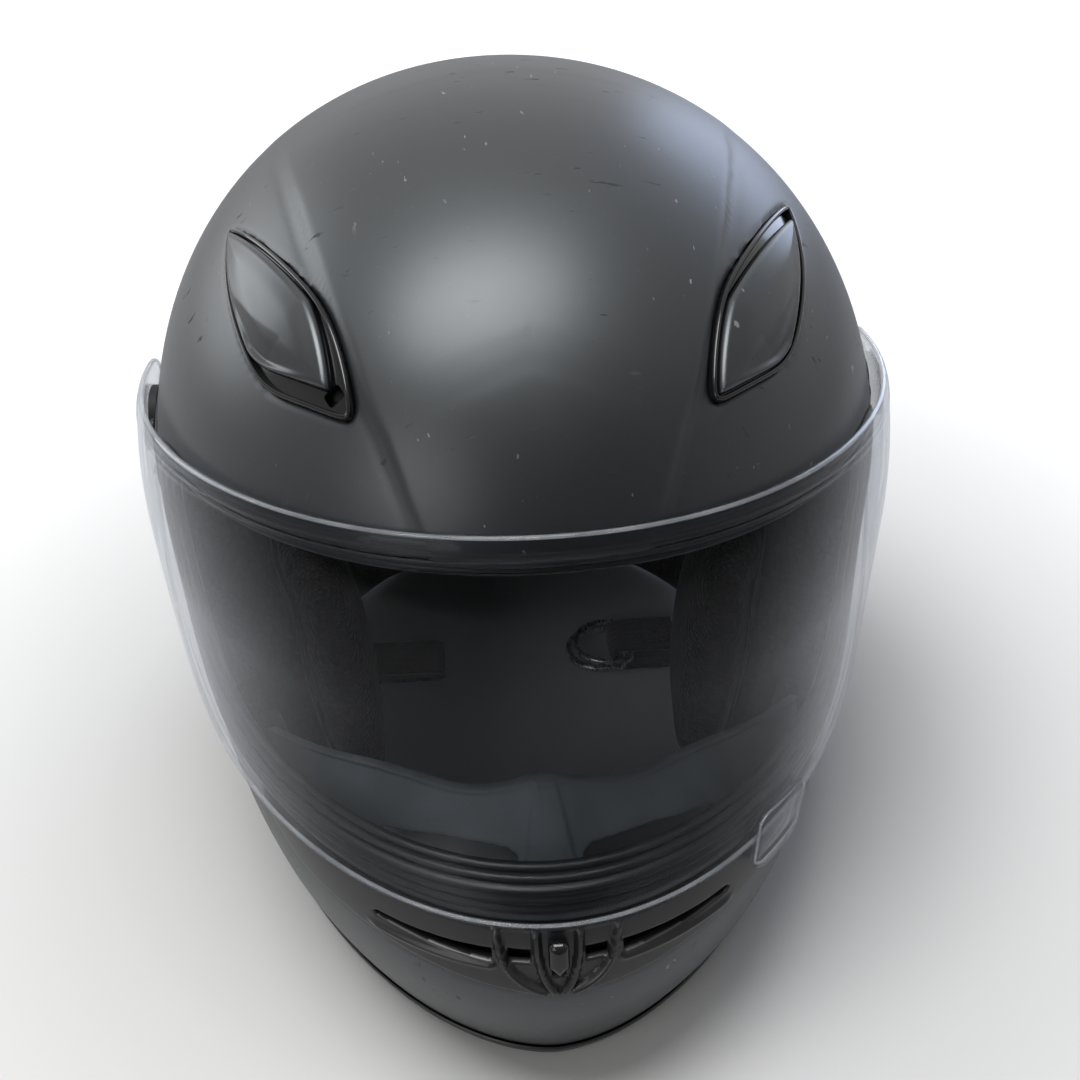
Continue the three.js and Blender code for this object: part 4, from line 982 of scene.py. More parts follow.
def visor_edges():
    """A thin tube of pale colour round the whole visor and its tab: a painted highlight along the polished
    edge.
    """
    middle, inset, tab_out = VISOR_GAP + VISOR_WALL / 2, 0.75, VISOR_GAP + 2.4
    edge_radius, tab_edge_radius = 0.62, 0.45
    side = dense(visor_polygon(), 1.0, 2)
    side = side + inward_normals(side) * inset
    start = np.argmin(np.hypot(side[:, 0] + 128, side[:, 1] - VISOR_BOTTOM - inset))
    side = np.roll(side, -start, 0)
    side = side[: np.nonzero(side[:, 0] < -128)[0][0]]
    corner = bearing_at(side[:, 0], side[:, 1], middle, EAR_FLARE)
    flat = np.linspace(CHIN, corner[0], 80)[:-1]
    brow = np.linspace(corner[-1], CHIN, 80)[1:]
    height = np.full(brow.shape, side[-1, 1])
    for _ in range(14):
        y = skin(brow, height, middle, flare=EAR_FLARE)[:, 1]
        height = PIVOT_Z + (EAR_RADIUS - inset) / math.cos(TOP_FALL) - y * math.tan(TOP_FALL)
    theta = np.concatenate([flat, corner, brow])
    z = np.concatenate([np.full(flat.shape, VISOR_BOTTOM + inset), side[:, 1], height])
    left = skin(theta, z, middle, flare=EAR_FLARE)
    loop = np.concatenate([left, left[1:-1][::-1] * [-1, 1, 1]])
    edge = tube(loop, edge_radius, 10, closed=True)
    piece("visor_edge", *edge, EDGE, "visor_clear", "visor", sharp=180)
    tab = dense(TAB_OUTLINE, 0.5, 6)
    tab = tab.mean(0) + (tab - tab.mean(0)) * 0.93
    path = skin(front_bearing(tab[:, 0], VISOR_BOTTOM, tab_out), tab[:, 1], tab_out)
    edge = tube(path, tab_edge_radius, 10, closed=True)
    piece("visor_tab_edge", *edge, EDGE, "visor_clear", "visor", sharp=180)


def front_bearing(x, z, out):
    half, _, _, power = station(np.asarray(z, float), out, out, out)
    return -np.arccos(clamp((x / half) ** (power / 2)))


def visor_tab():
    """The moulded lift tab at the lower edge on the wearer's left."""
    values, faces = sheet_grid(np.linspace(60, 84, 60), np.linspace(70, 90, 50))
    depth = -polygon_distance(values[:, 0], values[:, 1], TAB_OUTLINE)
    values, faces = clip(np.column_stack([values, depth]), faces, depth)
    x, z, depth = values.T
    out = VISOR_GAP + 1.6 + 2.2 - rounded(depth, 1.2, 1.2)
    ridge = 0.5 * np.exp(-(((z - 76.5) / 0.8) ** 2)) * smooth((depth - 1.5) / 1.5)
    theta = front_bearing(x, VISOR_BOTTOM, out)
    outer = skin(theta, z, out + ridge)
    inner = skin(theta, z, VISOR_GAP + 0.9 + rounded(depth, 1.0, 0.8))
    piece("visor_tab", *thick(outer, inner, faces), VISOR, "visor_clear", "visor", sharp=50)


def pivot_basis():
    """The visor's axle at the middle of the helmet: z runs out to the wearer's left."""
    return basis_at(np.array([0, 0, PIVOT_Z]), [0, 1, 0], [0, 0, 1], [1, 0, 0])


def visor_collars():
    """The collar inside each ear turns on the base plate's boss."""
    low, high = 128.7, 131.8
    profile = [(9.5, low + 0.2), (9.8, low), (11.6, low), (12, low + 0.4), (12, high), (9.5, high)]
    rings = []
    for a in np.linspace(0, 2 * math.pi, 64, endpoint=False):
        section = np.array([(r * math.cos(a), r * math.sin(a), h) for r, h in profile])
        rings.append(in_frame(pivot_basis(), section))
    ring = loft(rings, closed_loft=True)
    piece("visor_collars", *joined(ring, mirror_x(ring)), INNER, "visor_clear", "visor", sharp=40)


# ---------------------------------------------------------------- top vents


RIDGE = np.array([(-10, 60), (-14.5, 22), (-14, 4), (-11, -10), (-6.5, -24), (-4.5, -60)], float)


def leaf_inset(inset):
    """The leaf's outline moved inwards along its own normals."""
    return LEAF + inward_normals(LEAF) * inset


def vent_bezel():
    """A glossy rim round a plain floor with the intake cut in it."""
    profile = [
        (-0.05, -1.4), (-0.05, 0.9), (0.05, 1.35), (0.3, 1.65), (0.65, 1.75), (1.0, 1.68), (1.3, 1.4),
        (1.45, 1.0), (1.5, 0.4), (1.5, -1.4),
    ]
    rings = []
    for inset, height in profile:
        ring = leaf_inset(inset)
        rings.append(vent_point(ring[:, 0], ring[:, 1], height))
    rim = loft(rings, closed_loft=True)
    values, faces = sheet_grid(np.linspace(-21, 9, 120), np.linspace(-50, 53, 360))
    leaf = -polygon_distance(values[:, 0], values[:, 1], LEAF) - 1.1
    hole = np.array([(-6.4, -42.8), (-0.8, -42.8), (-0.8, -38), (-6.4, -38)], float)
    intake = polygon_distance(values[:, 0], values[:, 1], dense(hole, 0.25, 24))
    values, faces = clip(values, faces, np.minimum(leaf, intake))
    across, along = values.T
    floor = thick(vent_point(across, along, -0.5), vent_point(across, along, -1.3), faces)
    return joined(rim, floor)


def ridge_side(across, along):
    """How far a point of the lid lies beyond its crease, towards the helmet's side."""
    order = np.argsort(RIDGE[:, 1])
    return np.interp(along, RIDGE[order, 1], RIDGE[order, 0]) - across


def vent_shutter(lift):
    """The leaf-shaped lid; lift moves it up its run from the closed place."""
    values, faces = sheet_grid(np.linspace(-21, 9, 110), np.linspace(-51, 46, 330))
    here = -polygon_distance(values[:, 0], values[:, 1], LEAF)
    raised = -polygon_distance(values[:, 0], values[:, 1] + VENT_TRAVEL, LEAF)
    depth = np.minimum(here, raised) - LID_INSET
    values, faces = clip(np.column_stack([values, depth]), faces, depth)
    across, along, depth = values.T
    beyond = ridge_side(across, along)
    fold = 0.5 * (beyond + np.sqrt(beyond**2 + 0.3)) * 0.27
    bow = 0.9 * smooth((along + 58) / 40)
    height = 3.1 + bow * smooth(depth / 8) - fold * smooth(depth / 2.5) - rounded(depth, 2.1, 2.1)
    top = vent_point(across, along + lift, height)
    return thick(top, vent_point(across, along + lift, np.minimum(0.5, height - 0.3)), faces)


def top_vents():
    bezel = vent_bezel()
    for side, flip, lift in (("right", False, VENT_TRAVEL), ("left", True, 0.0)):
        rim = piece(f"vent_rim_{side}", *turned(bezel, flip), GLOSS, "gloss_plastic", sharp=40)
        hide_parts(f"top_vent_bezel_{side}")
        lid = turned(vent_shutter(lift), flip)
        obj = piece(f"vent_lid_{side}", *lid, VENT_PAINT, "vent_paint", f"top_vent_{side}", sharp=40)
        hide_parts(f"top_vent_shutter_{side}")


# ---------------------------------------------------------------- chin vent


def chin_basis():
    normal = skin_normal(CHIN, SLOT_Z)
    right = np.array([1.0, 0, 0])
    return basis_at(skin(CHIN, SLOT_Z), right, np.cross(normal, right), normal)


def slot_distance(x, z):
    side = np.array([(19, -2), (52, -1), (53, 0), (52, 1), (19, 2)]) + [0, SLOT_Z]
    middle = np.array([(8, -2), (14.5, -2), (14.5, 2), (8, 2)]) + [0, SLOT_Z]
    stem = np.array([(-1.9, -6.4), (1.9, -6.4), (1.9, 2.5), (-1.9, 2.5)]) + [0, SLOT_Z]
    return np.minimum.reduce([
        polygon_distance(np.abs(x), z, side),
        polygon_distance(np.abs(x), z, middle),
        polygon_distance(x, z, stem),
    ])


def cover_relief(x, z):
    """Raised lips below the long slots and curved ribs that meet at a point in the middle."""
    side = np.abs(x)
    lip_z = SLOT_Z - 3.4 - 0.02 * (side - 19)
    relief = 1.1 * np.exp(-((z - lip_z) ** 2)) * smooth((side - 17) / 3) * smooth((56 - side) / 5)
    for offset, height in ((5.4, 1.5), (16.6, 1.7)):
        start, end = (offset + 1, SLOT_Z + 8), (0.25 * offset, COVER_LOW + 2.4)
        line = bezier(start, (offset + 0.5, SLOT_Z - 7), end, steps=14)
        distance = np.full(x.shape, FAR)
        for a, b in zip(line[:-1], line[1:]):
            run = b - a
            t = clamp(((side - a[0]) * run[0] + (z - a[1]) * run[1]) / (run @ run))
            distance = np.minimum(distance, np.hypot(side - a[0] - t * run[0], z - a[1] - t * run[1]))
        relief = np.maximum(relief, height * smooth((1.5 - distance) / 1.1))
    boat = smooth((16.6 - side - 0.9 * np.maximum(SLOT_Z - 2 - z, 0)) / 1.2)
    return relief - 0.7 * boat * (1 - smooth(relief / 0.5))


def chin_cover():
    span = -float(front_bearing(COVER_HALF, SLOT_Z, 0))
    theta = np.linspace(span - math.pi, -span, 330)
    values, faces = sheet_grid(theta, np.linspace(COVER_LOW - 0.5, COVER_TOP + 0.5, 64))
    x = skin(values[:, 0], SLOT_Z)[:, 0]
    outline = -polygon_distance(x, values[:, 1], cover_polygon(0))
    slots = slot_distance(skin(values[:, 0], values[:, 1])[:, 0], values[:, 1])
    field = np.minimum(outline, slots)
    values, faces = clip(np.column_stack([values, outline, slots]), faces, field)
    theta, z, outline, slots = values.T
    edge = rounded(outline, 1.0, 0.8) + rounded(slots, 0.7, 0.5)
    relief = cover_relief(skin(theta, z)[:, 0], z) * smooth((outline - 0.6) / 1.2)
    part = layer(values, 1.5 - edge + relief, -1.2, faces)
    obj = piece("chin_cover", *part, SATIN, "satin_plastic", sharp=40)
    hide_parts("chin_vent_cover")


def outline_block(outline, profile, basis):
    """A block whose outline shrinks towards its own middle by (inset, height)."""
    outline = np.asarray(outline, float)
    middle = (outline.max(0) + outline.min(0)) / 2
    half = (outline.max(0) - outline.min(0)) / 2
    rings = []
    for inset, height in profile:
        ring = middle + (outline - middle) * (1 - inset / half)
        local = np.column_stack([ring, np.full(len(ring), height)])
        rings.append(in_frame(basis, local))
    return loft(rings)


def chin_slider():
    basis = chin_basis()
    outline = dense(np.array([
        (0, -5.0), (3, -2.0), (3, 4.8), (1.8, 6), (-1.8, 6), (-3, 4.8), (-3, -2.0),
    ]), soften=4)
    profile = [(0, 1.9), (0, 3.4), (0.2, 4.0), (0.6, 4.5), (1.1, 4.9), (1.7, 5.2), (2.3, 5.4), (2.9, 5.45)]
    knob = outline_block(outline, profile, basis)
    stem = dense(np.array([(-1.5, -1.1), (1.5, -1.1), (1.5, 2.1), (-1.5, 2.1)]), 0.5, 1)
    obj = piece(
        "chin_knob",
        *joined(knob, outline_block(stem, [(0, -4), (0, 1.95)], basis)),
        GLOSS, "gloss_plastic", "chin_vent", sharp=50, merge=0.01,
    )
    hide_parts("chin_vent_slider")


# ---------------------------------------------------------------- rear exhaust


def exhaust_cover():
    half_z, half_angle = 20.0, 22.0
    values, faces = sheet_grid(np.linspace(-1, 1, 150), np.linspace(-1, 1, 90))
    theta = (90 + half_angle * values[:, 0]) * DEG
    z = EXHAUST_Z + half_z * values[:, 1]
    x = skin(theta, z)[:, 0]
    oval = 1 - (np.abs(values[:, 0]) ** 3.2 + np.abs(values[:, 1]) ** 2.6)
    hole = np.array([(-8, -7), (8, -7), (7, -1), (-7, -1)])
    slots = [polygon_distance(x, z, hole + [centre, EXHAUST_Z]) for centre in (-26, 0, 26)]
    slots = np.minimum.reduce([np.full(x.shape, FAR), *slots])
    values, faces = clip(np.column_stack([theta, z, oval, slots]), faces, np.minimum(oval * 12, slots))
    theta, z, oval, slots = values.T
    rise = 5.6 * clamp(oval) ** 0.55
    fin = 0.9 * np.exp(-(((np.abs(skin(theta, z)[:, 0]) - 13) / 1.4) ** 2)) * clamp(oval * 3)
    part = layer(values, 1.6 + rise + fin - rounded(slots, 0.9, 0.7), 0.45 + rise * 0.82, faces)
    obj = piece("exhaust_scoop", *part, SATIN, "satin_plastic", sharp=45)
    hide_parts("rear_exhaust_cover")


# ---------------------------------------------------------------- visor base plates


PLATE_SCREWS = [(-34, PIVOT_Z + 5), (2, PIVOT_Z + 16.5)]
PIN_RISE = 6.5


def plate_part(lever_basis):
    values, faces = sheet_grid(np.linspace(-46, 22, 120), np.linspace(125, 169, 80))
    outline = -polygon_distance(values[:, 0], values[:, 1], plate_polygon(0))
    holes = [np.hypot(values[:, 0] - y, values[:, 1] - z) - 3.7 for y, z in PLATE_SCREWS]
    holes = np.minimum.reduce([np.full(outline.shape, FAR), *holes])
    values, faces = clip(np.column_stack([values, outline, holes]), faces, np.minimum(outline, holes))
    y, z, outline, holes = values.T
    web = 0.5 * smooth((outline - 2.2) / 0.8) * smooth((np.hypot(y, z - PIVOT_Z) - 13.5) / 0.8)
    out = 1.2 - rounded(outline, 0.8, 0.6) - rounded(holes, 0.5, 0.3) - web * 0.6
    theta = bearing_at(y, z)
    sheet = thick(skin(theta, z, out), skin(theta, z, -1.2), faces)
    boss = lathe(pivot_basis(), [
        (9, 125.5), (9, 129.2), (8.7, 129.6), (7.2, 129.6), (6.7, 129.2), (6.5, 127.9), (2.4, 127.9),
        (2.2, 128.6), (0.01, 128.7),
    ], 56)
    pin = lever_basis.copy()
    pin[:3, 3] += lever_basis[:3, 1] * PIN_RISE
    return joined(sheet, boss, lathe(pin, [(1.5, 0.4), (1.5, 3.0), (1.2, 3.25), (0.01, 3.3)], 20))


def lever_part(basis):
    t = np.linspace(0, 180, 16) * DEG
    top = np.column_stack([3 * np.cos(t), PIN_RISE + 3 * np.sin(t)])
    outline = dense(np.concatenate([top, [(-4, -6.5), (1.5, -6.5)]]), 0.4, 2)
    return outline_block(outline, [(0.1, 1.7), (0, 1.8), (0, 2.75), (0.15, 2.95), (0.4, 3.0)], basis)


def spring_part(basis):
    coils, radius, wire, reach = 8, 0.62, 0.16, 7.8
    turns = np.linspace(0, 2 * math.pi * coils, coils * 18)
    run = np.linspace(0, reach, len(turns))
    coil = np.column_stack([-4.3 - run, -5 + radius * np.sin(turns), 2.25 + radius * np.cos(turns)])
    return tube(in_frame(basis, coil), wire, 8)


def base_plates():
    lever_basis = side_basis(-20, PIVOT_Z + 1)
    plate, lever, spring = (part(lever_basis) for part in (plate_part, lever_part, spring_part))
    head = [
        (1.7, -2.9), (1.7, -0.1), (3.4, -0.1), (3.5, 0.1), (3.5, 0.75), (3.2, 1.1), (1.9, 1.2),
        (1.75, 0.6), (0.01, 0.5),
    ]
    for side, flip in (("left", False), ("right", True)):
        obj = piece(f"base_plate_{side}", *turned(plate, flip), INNER, "inner_plastic", sharp=40)
        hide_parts(f"visor_base_plate_{side}")
        for k, spot in enumerate(PLATE_SCREWS, 1):
            part = turned(lathe(side_basis(*spot), head, 30), flip)
            obj = piece(f"plate_screw_{k}_{side}", *part, SCREW, "steel", sharp=40)
            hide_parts(f"base_plate_screw_{k}_{side}")
        name = f"release_lever_{side}"
        obj = piece(name, *turned(lever, flip), SATIN, "satin_plastic", name, sharp=45)
        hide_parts(f"visor_release_lever_{side}")
        part = turned(spring, flip)
        obj = piece(f"return_spring_{side}", *part, SCREW, "steel", sharp=60, merge=0.001)
        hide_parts(f"release_spring_{side}")


# ---------------------------------------------------------------- liners and pads


def impact_liner():
    bearings = np.linspace(-90, 270, 241)[:-1] * DEG
    values, faces = dome_grid(bearings, lambda theta: 18.0, 46, 50)
    points = dome_points(values, -4)
    port = polygon_distance(points[:, 1], points[:, 2], port_polygon(6))
    chin = np.maximum(points[:, 1] + 84, points[:, 2] - 91)
    strap_bay = np.maximum(-14 - points[:, 1], points[:, 2] - 54)
    values, faces = clip(values, faces, np.minimum.reduce([port, chin, strap_bay]))
    inner = dome_points(values, LINER["side"], LINER["ends"], LINER["top"])
    part = thick(dome_points(values, -4.2), inner, faces)
    obj = piece("foam_liner", *part, FOAM, "liner_foam", sharp=40)
    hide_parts("impact_liner")


def chin_liner():
    low, high, face = 18, 73, -4.3
    values, faces = sheet_grid(np.linspace(-160, -20, 150) * DEG, np.linspace(low, high, 40))
    y = skin(values[:, 0], values[:, 1], -4)[:, 1]
    values, faces = clip(values, faces, -86.5 - y)
    z = values[:, 1]
    depth = 15.5 - rounded(np.minimum(z - low, high - z), 5.0, 4.0)
    slot_x = skin(values[:, 0], SLOT_Z)[:, 0]
    pocket = polygon_distance(slot_x, z, np.array([(-60, 57), (60, 57), (60, 95), (-60, 95)]))
    part = layer(values, face - 6.6 * smooth(-pocket), face - depth, faces)
    obj = piece("chin_foam", *part, FOAM, "liner_foam", sharp=50)
    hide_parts("chin_bar_liner")


def crown_liner():
    """Sewn comfort liner: soft panels with sunk seams between them."""
    bearings = np.linspace(-90, 270, 289)[:-1] * DEG
    values, faces = dome_grid(bearings, lambda theta: 58.0, 40, 56)
    points = dome_points(values, -31.3, -40.3, -36.3)
    port = polygon_distance(points[:, 1], points[:, 2], port_polygon(7))
    cheek = np.maximum(points[:, 1] - 14, points[:, 2] - 121)
    field = np.minimum(port, cheek)
    values, faces = clip(np.column_stack([values, field]), faces, field)
    x, y, z = dome_points(values[:, :2], -40, -49, -45).T
    panel = np.abs(np.abs(x) - 33)
    across = np.where(np.abs(x) < 33, np.abs(y - 10), FAR)
    band = np.where(y > 0, np.abs(z - 118 - 0.12 * y), FAR)
    seam = np.minimum.reduce([panel, across, band])
    sunk = 3.2 * np.exp(-((seam / 5.0) ** 2)) + 1.0 * np.exp(-((seam / 1.4) ** 2))
    lift = sunk + rounded(values[:, 2], 7.0, 6.0)
    outer = dome_points(values[:, :2], -31.4, -40.4, -36.4)
    inner = dome_points(values[:, :2], -40.3 + lift, -49.3 + lift, -45.3 + lift)
    obj = piece("crown_pad", *thick(outer, inner, faces), KNIT_PAINTED_DARKER, "comfort_knit", sharp=60)
    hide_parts("crown_comfort_liner")


PUFF_VOXEL, PUFF_PRESSURE, PUFF_FRAMES = 0.004, 4, 20


def puffed(obj, limit):
    """Lets cloth pressure round a soft piece out, within a limit, and keeps the result."""
    mesh = obj.data
    scene = bpy.context.scene
    soft = bpy.data.objects.new("soft_trial", mesh.copy())
    scene.collection.objects.link(soft)
    remesh = soft.modifiers.new("remesh", "REMESH")
    remesh.mode, remesh.voxel_size = "VOXEL", PUFF_VOXEL
    depsgraph = bpy.context.evaluated_depsgraph_get()
    base = bpy.data.meshes.new_from_object(soft.evaluated_get(depsgraph))
    soft.modifiers.clear()
    soft.data = base
    start = np.array([v.co[:] for v in base.vertices])
    cloth = soft.modifiers.new("cloth", "CLOTH")
    cloth.settings.use_pressure = True
    cloth.settings.uniform_pressure_force = PUFF_PRESSURE
    cloth.settings.effector_weights.gravity = 0
    cloth.point_cache.frame_start, cloth.point_cache.frame_end = 1, PUFF_FRAMES
    for step in range(1, PUFF_FRAMES + 1):
        scene.frame_set(step)
    depsgraph = bpy.context.evaluated_depsgraph_get()
    moved = np.array([v.co[:] for v in soft.evaluated_get(depsgraph).data.vertices])
    shift = moved - start
    size = np.linalg.norm(shift, axis=1)[:, None]
    shift *= np.minimum(1, limit * MM / np.maximum(size, 1e-9))
    soft.modifiers.clear()
    for vertex, point in zip(base.vertices, start + shift):
        vertex.co = point
    scene.frame_set(1)
    bpy.data.objects.remove(soft)
    base.materials.clear()
    for material in mesh.materials:
        base.materials.append(material)
    obj.data = base
    subdivide = obj.modifiers.new("smooth", "SUBSURF")
    subdivide.levels = subdivide.render_levels = 1
    for polygon in base.polygons:
        polygon.use_smooth = True


def cheek_spot(u, v):
    """Bearing and height on a cheek pad, with u and v running over it from 0 to 1."""
    low, high = 25 + 5 * u, 116.5 - 3 * (1 - u)
    return (-183.4 + 42.8 * u) * DEG, low + (high - low) * v


def cheek_pads():
    values, faces = sheet_grid(np.linspace(0, 1, 60), np.linspace(0, 1, 76))
    u, v = values.T
    theta, z = cheek_spot(u, v)
    plump = 0.5 + 0.5 * np.sin(math.pi * clamp(0.08 + 0.84 * u))
    bulge = 26.5 * plump * (0.62 + 0.38 * np.sin(math.pi * clamp(0.1 + 0.8 * v)))
    sides, ends, top = LINER["side"] - 2.4, LINER["ends"] - 2.4, LINER["top"] - 2.4
    edge = np.minimum.reduce([u / 0.14, (1 - u) / 0.14, v / 0.1, (1 - v) / 0.1])
    swell = np.sqrt(1 - (1 - clamp(edge)) ** 2)
    inner, outer = bulge * (0.1 + 0.9 * swell), 2.0 * (1 - swell)
    part = thick(*(skin(theta, z, sides - depth, ends - depth, top) for depth in (outer, inner)), faces)
    inset = 0.055
    corners = [(inset, inset), (1 - inset, inset), (1 - inset, 1 - inset), (inset, 1 - inset)]
    theta, z = cheek_spot(*dense(np.array(corners), 0.02, 3).T)
    piping = skin(theta, z, sides - 5.0, ends - 5.0, top)
    for side, flip in (("right", False), ("left", True)):
        cushion = turned(part, flip)
        obj = piece(f"cheek_cushion_{side}", *cushion, NAPPED, "comfort_knit", sharp=180)
        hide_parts(f"cheek_pad_{side}")
        puffed(obj, 3.0)
        cord = tube(piping * [-1, 1, 1] if flip else piping, 1.3, 10, closed=True)
        seam = piece(f"cheek_piping_{side}", *cord, PIPING, "comfort_knit", sharp=180)


def neck_roll():
    columns, count = 170, 40
    rings = []
    for u in np.linspace(0, 1, columns):
        theta = (18 + 144 * u) * DEG
        swell = math.sqrt(max(1 - (1 - min(u, 1 - u, 0.06) / 0.06) ** 2, 0.0))
        turn = np.linspace(0, 2 * math.pi, count, endpoint=False)
        c, s = np.cos(turn), np.sin(turn)
        depth = 9.4 * (0.25 + 0.75 * swell)
        height = 20.5 * (0.55 + 0.45 * swell)
        gather = 1 + 0.02 * math.sin(u * 190)
        out = -16.2 + depth * gather * np.sign(c) * np.abs(c) ** 0.7
        z = 31.5 + height * np.sign(s) * np.abs(s) ** 0.75
        rings.append(skin(theta, z, out))
    obj = piece("neck_cushion", *loft(rings), KNIT_PAINTED_DARKER, "comfort_knit", sharp=60)
    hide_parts("neck_roll")
    theta = np.linspace(19, 161, 200) * DEG
    cord = tube(skin(theta, 12.4, -20.0), 1.4, 10)
    piping = piece("neck_piping", *cord, PIPING, "comfort_knit", sharp=180)


def breath_guard():
    """Grained rubber guard: wavy upper edge, a stem in the middle and a toothed window either side."""
    values, faces = sheet_grid(np.linspace(-141.5, -38.5, 400), np.linspace(0, 1, 56))
    u, v = values.T
    side = np.sqrt(((u + 90) / 52) ** 2 + 0.01)
    lean = 1.01 - side**2
    top = 87 + 7 * lean + 3 * np.cos(side * 3 * math.pi) * np.maximum(1 - side, 0)
    low = 73.6
    z = low + (top - low) * v
    out = -9 - (1 + 25 * lean) * v**1.15
    theta = u * DEG
    x = skin(theta, z, out)[:, 0]
    rise = z - low
    window = np.array([(12, 1), (10, 9.5), (13, 10.5), (34, 10), (50, 8.5), (58, 5), (60, 1)])
    opening = polygon_distance(np.abs(x), rise, window)
    tooth = 0.55 - np.abs((np.abs(x) % 5.5) - 2.75)
    comb = np.minimum(tooth, 7.0 - rise)
    field = np.maximum(opening, comb)
    values, faces = clip(np.column_stack([theta, z, out, x, v, opening]), faces, field)
    theta, z, out, x, v, opening = values.T
    stem = 1.6 * smooth((11.5 - 0.35 * (z - low) - np.abs(x)) / 1.6)
    lip = 0.9 * smooth((v - 0.93) / 0.06)
    brink = rounded(opening, 0.9, 0.7) * smooth((opening + 0.2) / 0.2)
    back = 1.6 * smooth(-opening / 0.4)
    outer = skin(theta, z, out + stem + lip - brink - back)
    inner = skin(theta, z - 0.6, out - 2.4)
    obj = piece("nose_guard", *thick(outer, inner, faces), GUARD, "guard_rubber", sharp=60)
    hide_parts("breath_guard")


# ---------------------------------------------------------------- straps and rings


def wall_x(z):
    out = -SHELL_WALL - 0.5 - 2 - SEAM
    spots = np.array([STRAP_Y - STRAP_WIDTH / 2, STRAP_Y + STRAP_WIDTH / 2])
    level = np.full(2, float(z))
    return -float(skin(bearing_at(spots, level, out), level, out)[:, 0].min())


def arc_points(x, z, radius, start, end, steps=14):
    turn = np.linspace(start, end, steps) * DEG
    return [(x + radius * math.cos(a), z + radius * math.sin(a)) for a in turn]


def strap_path(end, fold_radius, back):
    """Down the wall, in across the neck, then folded back on itself, as (x, z)."""
    bend = 9
    turn_x = wall_x(STRAP_FLOOR + bend) + bend
    return np.array(
        [(wall_x(z), z) for z in np.linspace(50, 18, 6)]
        + arc_points(turn_x, STRAP_FLOOR + bend, bend, 180, 270)
        + [(end + (turn_x - end) * t, STRAP_FLOOR) for t in (0.66, 0.33)]
        + arc_points(end, STRAP_FLOOR + fold_radius, fold_radius, -90, 90)
        + [(end + (back - end) * t, STRAP_FLOOR + 2 * fold_radius) for t in (0.33, 0.66, 1)]
    )


def ribbon(path):
    """A flat woven strap with rounded edges along a path of (x, z)."""
    length = path_length(path)
    keep = np.concatenate([[True], np.diff(length) > 1e-6])
    path, length = path[keep], length[keep]
    line = resampled(path, length, np.linspace(0, length[-1], int(length[-1] / 1.2)))
    for _ in range(3):
        line[1:-1] = (line[:-2] + 2 * line[1:-1] + line[2:]) / 4
    run = np.gradient(line, axis=0)
    run = run / np.linalg.norm(run, axis=1)[:, None]
    normal = np.column_stack([-run[:, 1], run[:, 0]])
    half, wall = STRAP_WIDTH / 2, 0.85
    lower = np.array(
        [(-half + 0.8, -wall), (-half + 2.4, -wall * 0.86)]
        + [(y, -wall * 0.94) for y in np.linspace(-7, 7, 8)]
        + [(half - 2.4, -wall * 0.86), (half - 0.8, -wall), (half - 0.2, -0.5), (half, 0)]
    )
    # The upper half is the lower one turned half round.
    across = np.concatenate([lower, [(half - 0.2, 0.5)], -lower[:-1], [(-half, 0), (-half + 0.2, -0.5)]])
    rings = []
    for (x, z), n in zip(line, normal):
        middle = np.array([x, z]) + n * STRAP_WALL / 2
        off = middle + across[:, 1:] * n
        rings.append(np.column_stack([off[:, 0], STRAP_Y + across[:, 0], off[:, 1]]))
    return loft(rings)


def stitches(x0, x1, z, flip):
    """A sewn box with a cross in it, as short thread runs on the strap's upper face."""
    corners = [(x0, -7), (x1, -7), (x1, 7), (x0, 7)]
    crossing = [(corners[0], corners[2]), (corners[1], corners[3])]
    pitch, gap, thread = 2.6, 0.15, 0.22
    parts = []
    for a, b in list(zip(corners, corners[1:] + corners[:1])) + crossing:
        a, b = np.array(a, float), np.array(b, float)
        count = int(np.hypot(*(b - a)) / pitch)
        for k in range(count):
            run = a + (b - a) * ((k + np.linspace(gap, 1 - gap, 5)) / count)[:, None]
            rise = z + 0.28 * np.sin(np.linspace(0, math.pi, 5)) - 0.1
            parts.append(tube(np.column_stack([run[:, 0], STRAP_Y + run[:, 1], rise]), thread, 6))
    return turned(joined(*parts), flip)


def d_ring(bar_x, bar_z):
    """A round-section D: its straight bar along Y, its bow towards the middle of the helmet."""
    rod = RING_BAR / 2
    half, reach = 12 + rod, 24 - 12 - 2
    turn = np.linspace(90, 270, 40) * DEG
    bow = np.column_stack([bar_x - reach + half * np.cos(turn), STRAP_Y + half * np.sin(turn)])
    top = [(x, STRAP_Y + half) for x in np.linspace(bar_x - 2, bar_x - reach, 6)]
    low = [(x, STRAP_Y - half) for x in np.linspace(bar_x - reach, bar_x - 2, 6)]
    bar = [(bar_x, STRAP_Y + y) for y in np.linspace(-half + 2, half - 2, 14)]
    loop = dense(np.concatenate([top, bow[1:-1], low, bar]), 0.9, 3)
    path = np.column_stack([loop, np.full(len(loop), bar_z)])
    return tube(path, rod, 18, closed=True)


